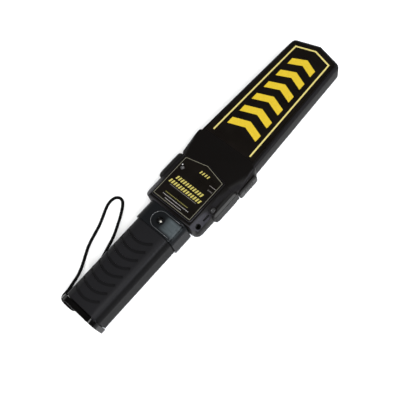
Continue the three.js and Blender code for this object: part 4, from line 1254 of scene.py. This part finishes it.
@dataclass
class WristStrap:
    """The cord strap: one cord out and back, and its two strands round the cap to the knot."""

    finishes: Finishes
    radius: float = 1.8 * MM
    sides: int = 16
    steps_per_span: int = 7
    middle_station: float = 171.905
    hole: float = -8.0
    knot_station: float = 9.5
    run: float = -1.1
    side: float = -27.6
    bend: float = 3.0
    corner: float = 5.0
    turn_steps: int = 3
    end_station: float = 6.9
    strands: Pair = (27.15, 30.85)
    knot_half: Point = (3.6, 3.2, 4.4)
    knot_sides: int = 24
    knot_weave: float = 8.0
    route: Sequence[Point] = (
        (-27.6, 6.6, 30.85), (-28, 9.6, 30.35), (-30.1, 14.5, 27.9), (-34.1, 21.4, 22.7),
        (-38.6, 28.2, 16.8), (-43.9, 35, 11.2), (-50.2, 42.6, 6.2), (-56.4, 50.8, 3.1),
        (-61.3, 59, 2), (-64.6, 67.2, 1.9), (-67.1, 75.5, 1.9), (-69.7, 84.2, 1.9),
        (-72.7, 91.8, 1.9), (-76.2, 99.2, 1.9), (-79.6, 106.5, 1.9), (-81.6, 112.6, 1.9),
        (-82, 118.4, 1.9), (-80.4, 123.8, 1.9), (-76, 126.9, 1.9), (-71.1, 126.2, 1.9),
        (-67.2, 122.9, 1.9), (-63.4, 118, 1.9), (-57.6, 108.7, 1.9), (-53.2, 100.3, 1.9),
        (-49.1, 92.1, 1.9), (-45.7, 83.8, 1.9), (-42.9, 74.3, 1.9), (-40.2, 65.2, 1.9),
        (-37.2, 55.6, 2.1), (-33.9, 45.6, 4.6), (-31.2, 35.4, 9.8), (-29.5, 25, 16.4),
        (-28.6, 16, 23), (-27.8, 9.6, 26.55), (-27.6, 6.6, 27.15),
    )

    def placed(self, point: Point) -> Vector:
        """Returns a point given from the butt in the wand's frame, in metres."""
        return Vector((point[0], point[1] - self.middle_station, point[2])) * MM

    def smooth(self, points: Sequence[Point]) -> list[Vector]:
        """Returns a smooth line through points.

        Args:
            points: what the line passes through.

        Returns:
            The line, in metres.
        """
        knots = [self.placed(p) for p in points]
        knots = [knots[0] * 2 - knots[1]] + knots + [knots[-1] * 2 - knots[-2]]
        spans = zip(knots, knots[1:], knots[2:], knots[3:])
        steps = self.steps_per_span
        return [span_point(*span, k / steps) for span in spans for k in range(steps)] + [knots[-2]]

    def strand(self, height: float) -> list[Vector]:
        """Returns one strand's line from the knot out of the hole, round the corner, up the side.

        Args:
            height: the strand's height.

        Returns:
            The line, in metres.
        """
        points = [(self.hole, self.knot_station, height)]
        turns = ((self.hole - self.bend, self.bend, 0.0),
                 (self.side + self.corner, self.corner, -math.pi / 2))
        for x, radius, start in turns:
            for k in range(self.turn_steps + 1):
                angle = start - k / self.turn_steps * math.pi / 2
                y = self.run + radius + radius * math.sin(angle)
                points.append((x + radius * math.cos(angle), y, height))
        return self.smooth(points + [(self.side, self.end_station, height)])

    def hitch(self) -> Piece:
        """Makes the two strands and the knot that holds them inside the cap.

        Returns:
            The piece.
        """
        middle = self.placed((self.hole, self.knot_station, sum(self.strands) / 2))
        stretch = Matrix.Diagonal((*self.knot_half, 1.0)) @ Matrix.Scale(MM, 4)
        place = Matrix.Translation(middle) @ stretch
        ball = dome(1.0, 0.0, 1.0)
        profile = [(r, -z) for r, z in ball[::-1]] + ball[1:]
        knot = mesh_from("knot", lambda work: revolved(work, profile, place, self.knot_sides), True)
        work = bmesh.new()
        layer = work.loops.layers.uv.new("UVMap")
        strands = [tube("strand", self.strand(z), self.radius, self.sides) for z in self.strands]
        for part in strands + [knot]:
            work.from_mesh(part)
        for face in work.faces:
            if all(loop[layer].uv.length == 0 for loop in face.loops):
                for loop in face.loops:
                    spot = loop.vert.co
                    loop[layer].uv = (spot.x / MM / self.knot_weave, spot.z)
        name = "strap_hitch_cord"
        return new_piece(name, written(name, work), self.finishes["cord"])

    def build(self) -> None:
        line = self.smooth(self.route)
        mesh = tube("wrist_strap", line, self.radius, self.sides)
        strap = new_piece("wrist_strap", mesh, self.finishes["cord"])
        hitch = self.hitch()
        settle(strap, "cord", CAP, "strap_cord")
        settle(hitch, "cord", CAP, "strap_hitch")


@dataclass(frozen=True)
class PrintedLine:
    """A printed line of even width, in millimetres.

    Args:
        name: the piece's name.
        ink: its ink.
        film: the node that carries it.
        width: its width.
        points: its middle.
        closed: whether its ends meet.
    """

    name: str
    ink: Ink
    film: str
    width: float
    points: Outline
    closed: bool = False


@dataclass(frozen=True)
class BarRow:
    """A printed row of equal slanted bars, in millimetres.

    Args:
        name: the piece's name.
        ink: its ink.
        start: the first bar's lower left corner.
        size: a bar's width and height.
        slant: how far a bar's top is shifted.
        pitch: from bar to bar.
        count: how many bars.
    """

    name: str
    ink: Ink
    start: Pair
    size: Pair
    slant: float
    pitch: float
    count: int


@dataclass
class PrintedFaces:
    """What the paddle's and panel's films carry: rules, borders, plain marks and a painted glint.
    """

    finishes: Finishes
    row: RowTree
    thickness: float = 0.04 * MM
    sink: float = 0.02 * MM
    paddle_line: PrintedLine = PrintedLine(
        "paddle_border", Ink.PALE_YELLOW, "paddle_label", 1.9,
        ((-28.0, 79.0), (-23.9, 222.6), (0.0, 229.6), (23.9, 222.6), (28.1, 76.4)))
    panel_lines: Sequence[PrintedLine] = (
        PrintedLine("panel_border", Ink.BRASS, "panel_label", 0.5, (
            (-27.2, -21.9), (26.9, -21.9), (26.9, 31.9), (0.0, 38.1), (-27.2, 31.8)), True),
        PrintedLine("panel_rule", Ink.ASH, "panel_label", 0.4, ((-19.2, -3.6), (19.4, -3.6))),
        PrintedLine("panel_leader", Ink.ASH, "panel_label", 0.5, ((17.0, 21.8), (26.3, 21.8))),
    )
    # A white dot beside the lamp: a painted highlight for the lamp's glint.
    dot_place: Pair = (-24.6, 22.9)
    dot_radius: float = 0.6
    dot_sides: int = 20
    chevrons: int = 6
    chevron_pitch: float = 20.6
    chevron_start: float = 94.5
    chevron_half: float = 21.0
    chevron_rise: float = 7.4
    chevron_stroke: float = 9.4
    chevron_end_scale: Point = (0.79, 1.0, 1.0)
    bar_rows: Sequence[BarRow] = (
        BarRow("level_bars_upper", Ink.DULL_YELLOW, (-19.4, 5.3), (2.0, 4.5), 1.2, 3.6, 11),
        BarRow("level_bars_lower", Ink.DULL_YELLOW, (-23.4, -1.9), (2.0, 4.5), 1.2, 3.6, 13),
        BarRow("lamp_bars", Ink.DULL_YELLOW, (-2.4, 26.4), (1.6, 3.6), 1.0, 3.6, 4),
        BarRow("fine_dashes_olive", Ink.OLIVE, (-17.4, -13.3), (1.5, 0.9), 0.3, 2.1, 16),
        BarRow("fine_dashes_long", Ink.WHITE, (-18.4, -16.4), (1.1, 0.55), 0.2, 1.75, 22),
        BarRow("fine_dashes_short", Ink.WHITE, (-12.4, -19.6), (1.1, 0.55), 0.2, 1.75, 14),
        BarRow("leader_marks", Ink.ASH, (19.2, 16.0), (0.6, 1.3), 0.2, 1.7, 4),
    )

    def printed(self, name: str, ink: Ink, film: str, points: Outline,
                shape: Callable[[Work, Outline, float, float], None] = prism) -> Piece:
        """Makes one printed mark, sunk a little into its film.

        Args:
            name: the piece's name.
            ink: its ink.
            film: the node that carries it.
            points: its outline, or its middle for a line, in millimetres.
            shape: makes the solid from the points in metres, its underside and its top.

        Returns:
            The piece.
        """
        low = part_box(film)[1].z - self.sink
        high = low + self.sink + self.thickness
        plan = [(x * MM, y * MM) for x, y in points]
        return solid(name, self.finishes[ink], lambda work: shape(work, plan, low, high))

    def line(self, line: PrintedLine) -> None:
        """Prints one line."""
        settle(self.printed(
            line.name, line.ink, line.film, line.points, lambda work, plan, low, high: ribbon(
                work, plan, line.width * MM, low, high, line.closed)), "label", HANDSET)

    def bars(self, row: BarRow) -> None:
        """Prints a row of bars on the panel.

        Args:
            row: its sizes.
        """
        (width, height), slant = row.size, row.slant
        bar = ((0.0, 0.0), (width, 0.0), (width + slant, height), (slant, height))
        piece = self.printed(row.name, row.ink, "panel_label", bar)
        self.row.lay(piece, row.count, (row.pitch * MM, 0.0, 0.0),
                     (row.start[0] * MM, row.start[1] * MM, 0.0))
        settle(piece, "label", HANDSET)

    def build(self) -> None:
        """Prints the paddle's border and chevrons, then all that is on the panel."""
        self.line(self.paddle_line)
        half, rise, stroke = self.chevron_half, self.chevron_rise, self.chevron_stroke
        arrow = ((-half, 0.0), (0.0, rise), (half, 0.0), (half, stroke), (0.0, stroke + rise),
                 (-half, stroke))
        piece = self.printed("scan_chevrons", Ink.YELLOW, "paddle_label", arrow)
        self.row.lay(piece, self.chevrons, (0.0, self.chevron_pitch * MM, 0.0),
                     (0.0, self.chevron_start * MM, 0.0), self.chevron_end_scale)
        settle(piece, "label", HANDSET)
        for line in self.panel_lines:
            self.line(line)
        for row in self.bar_rows:
            self.bars(row)
        # Painted highlight: a white dot beside the lamp for its glint.
        disc = [(self.dot_place[0] + self.dot_radius * x, self.dot_place[1] + self.dot_radius * y)
                for x, y in around(self.dot_sides)]
        settle(self.printed("lamp_dot", Ink.CHALK, "panel_label", disc), "label", HANDSET)


@dataclass
class Casing:
    """The two shells, the films, the handle's collar, grip and cap, and the two sliding controls.

    A part has its node, slot, finish, body and how far its edges are broken, in metres.
    """

    finishes: Finishes
    grip: RoundedBar = RoundedBar(25.5 * MM, 20.5 * MM)
    collar: RoundedBar = RoundedBar(27.5 * MM, 21.3 * MM)
    cap: RoundedBar = RoundedBar(26.5 * MM, 21.5 * MM)
    groove_depth: float = 0.8 * MM
    parts: Sequence[tuple[str, str, str, str, float]] = (
        ("front_shell", "casing", "casing", HANDSET, 0.0),
        ("back_shell", "casing", "casing", HANDSET, 0.0),
        ("paddle_label", "label", "label", HANDSET, 0.0),
        ("panel_label", "label", "label", HANDSET, 0.0),
        ("grip_sleeve", "grip", "grip", HANDSET, 0.0),
        ("collar", "collar", "collar", HANDSET, 0.0002),
        ("battery_cap", "casing", "cap", CAP, 0.0003),
        ("power_slide", "control", "bar", "power_slide", 0.0002),
        ("mode_knob", "control", "socket", "mode_knob", 0.00015),
    )

    def build(self) -> None:
        """Dresses the outer pieces."""
        bars = {"grip_sleeve": self.grip, "collar": self.collar, "battery_cap": self.cap}
        for node, slot, finish, body, edge in self.parts:
            bar = bars.get(node)
            prepare = bar.round_out if node == "battery_cap" else None
            piece = refined(node, self.finishes[finish], edge, prepare)
            if bar:
                bar.true_normals(piece)
            if slot == "grip":
                bar.mark_depth(piece, self.groove_depth)
            settle(piece, slot, body, node)


@dataclass
class RecessTrim:
    """The thin rim round the collar's thumb recess, and the trimmer's slotted head in its hole."""

    finishes: Finishes
    hole_y: float = -41.5
    rim_radius: float = 10.15
    rim_thick: float = 0.4
    rim_sides: int = 8
    rim_steps: int = 24
    rim_ends: Sequence[float] = (21.0, 14.0, 7.0)
    rim_height: float = 42.72
    flat_end: float = 15.5
    corner: float = 12.0
    head_radius: float = 1.45
    head_sides: int = 32
    head_steps: int = 6
    head_low: float = 35.2
    head_rim: float = 37.0
    head_top: float = 37.7
    slot_half: float = 0.3
    slot_floor: float = 37.15

    def rim(self) -> None:
        """Lays the rim: straight, round the closed end, and straight back."""
        radius, steps = self.rim_radius, self.rim_steps
        ends = [(x, radius) for x in self.rim_ends]
        arc = [math.pi / 2 + math.pi * k / steps for k in range(steps + 1)]
        half = ends + [(radius * math.cos(t), radius * math.sin(t)) for t in arc]
        line = []
        for x, y in half + [(x, -y) for x, y in ends[::-1]]:
            past = max(0.0, x - self.flat_end)
            height = self.rim_height - self.corner + math.sqrt(self.corner ** 2 - past ** 2)
            line.append(Vector((x, y + self.hole_y, height)) * MM)
        mesh = tube("recess_rim", line, self.rim_thick * MM, self.rim_sides)
        settle(new_piece("recess_rim", mesh, self.finishes["rim"]), "collar", HANDSET)

    def head(self) -> None:
        """Makes the trimmer's domed head with its slot."""
        white = self.finishes["white_plastic"]
        radius, half = self.head_radius, self.slot_half
        place = Matrix.Translation((0.0, self.hole_y * MM, 0.0)) @ Matrix.Scale(MM, 4)
        profile = [(0.0, self.head_low), (radius, self.head_low),
                   *dome(radius, self.head_rim, self.head_top, self.head_steps)]
        piece = solid("trimmer_head", white,
                      lambda work: revolved(work, profile, place, self.head_sides))
        outline = [(x * MM, (y + self.hole_y) * MM) for x, y in (
            (-2 * radius, -half), (2 * radius, -half), (2 * radius, half), (-2 * radius, half))]
        carve(piece, solid("cutter", white, lambda work: prism(
            work, outline, self.slot_floor * MM, (self.head_top + OVERCUT) * MM)))
        soften(piece, CUT_ANGLE)
        settle(piece, "white_plastic", "trimmer_screw", "trimmer_screw")

    def build(self) -> None:
        """Makes both."""
        self.rim()
        self.head()


@dataclass
class SideControls:
    """The turned button, earphone socket and lamp, and the rib between side rail and power bar."""

    finishes: Finishes
    bevel_x: float = 36.21 * MM
    bevel_z: float = 36.29 * MM
    bevel_angle: float = math.pi / 4
    button_profile: Outline = ((0.0, -4.0), (3.1, -4.0), (3.1, 0.75))
    button_top: float = 1.7
    dish: Outline = ((1.5, 1.52), (1.1, 1.3), (0.6, 1.12), (0.0, 1.05))
    socket_profile: Outline = (
        (0.0, -8.45), (3.1, -8.45), (3.1, -2.8), (2.7, -2.8), (2.7, -0.02), (3.45, -0.02),
        (3.45, 0.08), (3.3, 0.16), (2.7, 0.16), (2.4, -0.2), (1.75, -1.6), (1.75, -6.2),
        (0.0, -6.2))
    rib: Outline = (
        (39.5, 33.0), (43.2, 33.0), (43.6, 33.4), (43.6, 37.0), (43.0, 37.6), (39.5, 37.6))
    rib_low: float = 20.0
    rib_high: float = 33.6
    rib_round: float = 0.5
    rib_facets: int = 3
    lamp_radius: float = 2.5
    lamp_flange: Outline = ((0.0, 0.0), (2.85, 0.0), (2.85, 0.9), (2.5, 1.0))
    lamp_steps: int = 14

    def middle(self, node: str) -> Vector:
        """Returns the middle of a CAD node's box."""
        return sum(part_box(node), Vector()) / 2

    def on_bevel(self, node: str) -> Matrix:
        """Returns the place on the bevelled side over a node's middle, Z out of the bevel.

        Args:
            node: the CAD node.

        Returns:
            The placing matrix, with millimetres turned to metres.
        """
        place = Matrix.Translation((self.bevel_x, self.middle(node).y, self.bevel_z))
        return place @ Matrix.Rotation(self.bevel_angle, 4, "Y") @ Matrix.Scale(MM, 4)

    def turned(self, node: str, slot: str, finish: str, body: str, profile: Outline,
               place: Matrix) -> None:
        """Makes a turned piece that stands for a CAD node.

        Args:
            node: the CAD node.
            slot: its material slot.
            finish: its finish.
            body: what it rides on.
            profile: radius and height pairs.
            place: where its axis goes.
        """
        piece = solid(f"{node}_turned", self.finishes[finish],
                      lambda work: revolved(work, profile, place), True)
        soften(piece, TURNED_ANGLE)
        settle(piece, slot, body, node)

    def end_rib(self) -> None:
        """Makes the rib that closes the gap between the side rail and the power bar at rest."""
        plan = [(x * MM, y * MM) for x, y in self.rib]
        piece = solid("rail_end_rib", self.finishes["casing"], lambda work: prism(
            work, plan, self.rib_low * MM, self.rib_high * MM))
        break_edges(piece, self.rib_round * MM, self.rib_facets, CUT_ANGLE)
        soften(piece, EDGE_ANGLE)
        settle(piece, "casing", HANDSET)

    def build(self) -> None:
        """Makes the button, the socket, the rib and the lamp."""
        crown = dome(*self.button_profile[-1], self.button_top)[1:]
        crown = [point for point in crown if point[0] > self.dish[0][0]]
        self.turned("push_button", "control", "button", "push_button",
                    [*self.button_profile, *crown, *self.dish], self.on_bevel("push_button"))
        self.turned("jack_socket", "control", "socket", HANDSET, self.socket_profile,
                    self.on_bevel("jack_socket"))
        self.end_rib()
        foot, top = (corner.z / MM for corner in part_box("alarm_led"))
        flange = [(radius, foot + height) for radius, height in self.lamp_flange]
        glass = dome(self.lamp_radius, top - self.lamp_radius, top, self.lamp_steps)
        middle = self.middle("alarm_led")
        place = Matrix.Translation((middle.x, middle.y, 0.0)) @ Matrix.Scale(MM, 4)
        self.turned("alarm_led", "lens", "lens", HANDSET, flange + glass, place)


@dataclass
class HousingScrews:
    """The six cross-recessed screws that hold the back shell, set by one geometry tree."""

    finishes: Finishes
    count: int = 6
    sides: int = 32
    shank: float = 1.2
    head: float = 2.6
    face: float = 18.8
    seat: float = 20.6
    tip: float = 33.0
    tip_slope: float = 0.5
    crown: Outline = ((0.0, 0.0), (1.5, 0.06), (2.15, 0.3), (2.52, 0.75))
    rim: float = 1.0
    recess_half: float = 1.45
    recess_width: float = 0.7
    recess_depth: float = 1.1
    taper: float = 0.55

    def recess(self) -> Piece:
        """Makes the tapered cross that is cut out of a head.

        Returns:
            The cutting piece.
        """
        far, near = self.recess_half * MM, self.recess_width / 2 * MM
        arm = ((far, -near), (far, near), (near, near))
        plus = [(x * cosine - y * sine, x * sine + y * cosine)
                for sine, cosine in ((0, 1), (1, 0), (0, -1), (-1, 0)) for x, y in arm]
        start, end = (self.face - OVERCUT) * MM, (self.face + self.recess_depth) * MM
        cross = solid("cross", self.finishes["steel"],
                      lambda work: prism(work, plus, start, end))
        for vertex in cross.data.vertices:
            if vertex.co.z > self.face * MM:
                vertex.co.xy *= self.taper
        return cross

    def model(self) -> Piece:
        """Makes one screw on the Z axis, its head below.

        Returns:
            The screw.
        """
        head, shank, seat, tip = self.head, self.shank, self.seat, self.tip
        profile = [(radius, self.face + height) for radius, height in self.crown]
        profile += [(head, self.face + self.rim), (head, seat), (shank, seat),
                    (shank, tip - self.tip_slope), (shank - self.tip_slope, tip), (0.0, tip)]
        screw = solid("screw", self.finishes["steel"],
                      lambda work: revolved(work, profile, Matrix.Scale(MM, 4), self.sides))
        carve(screw, self.recess())
        soften(screw, CUT_ANGLE)
        return screw

    def build(self) -> None:
        """Sets the screws where the CAD has them."""
        nodes = [f"housing_screw_{n}" for n in range(1, self.count + 1)]
        boxes = [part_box(node) for node in nodes]
        places = [((low.x + high.x) / 2, (low.y + high.y) / 2, 0.0) for low, high in boxes]
        piece = SpotTree().lay("housing_screws", self.model(), places)
        settle(piece, "steel", HANDSET, *nodes)


def dress_nodes(finishes: Finishes) -> None:
    """Gives every CAD node the material of its slot.

    Args:
        finishes: the wand's materials.
    """
    slots = {row["node"]: row["material_slot"] for row in frame["record"]["subparts"]}
    for name, node in frame["nodes"].items():
        for place in node.material_slots:
            place.material = finishes[slots[name]]


def main() -> None:
    """Builds the camera, the strap, and then the wand's other pieces in order."""
    logging.basicConfig(level=logging.INFO)
    finishes = Finishes()
    studio = Studio(finishes)
    studio.camera()
    dress_nodes(finishes)
    for assembly in (WristStrap, Casing, RecessTrim, SideControls, HousingScrews):
        assembly(finishes).build()
    PrintedFaces(finishes, RowTree()).build()
    studio.floor()
    studio.lights()


if __name__ == "__main__":
    main()
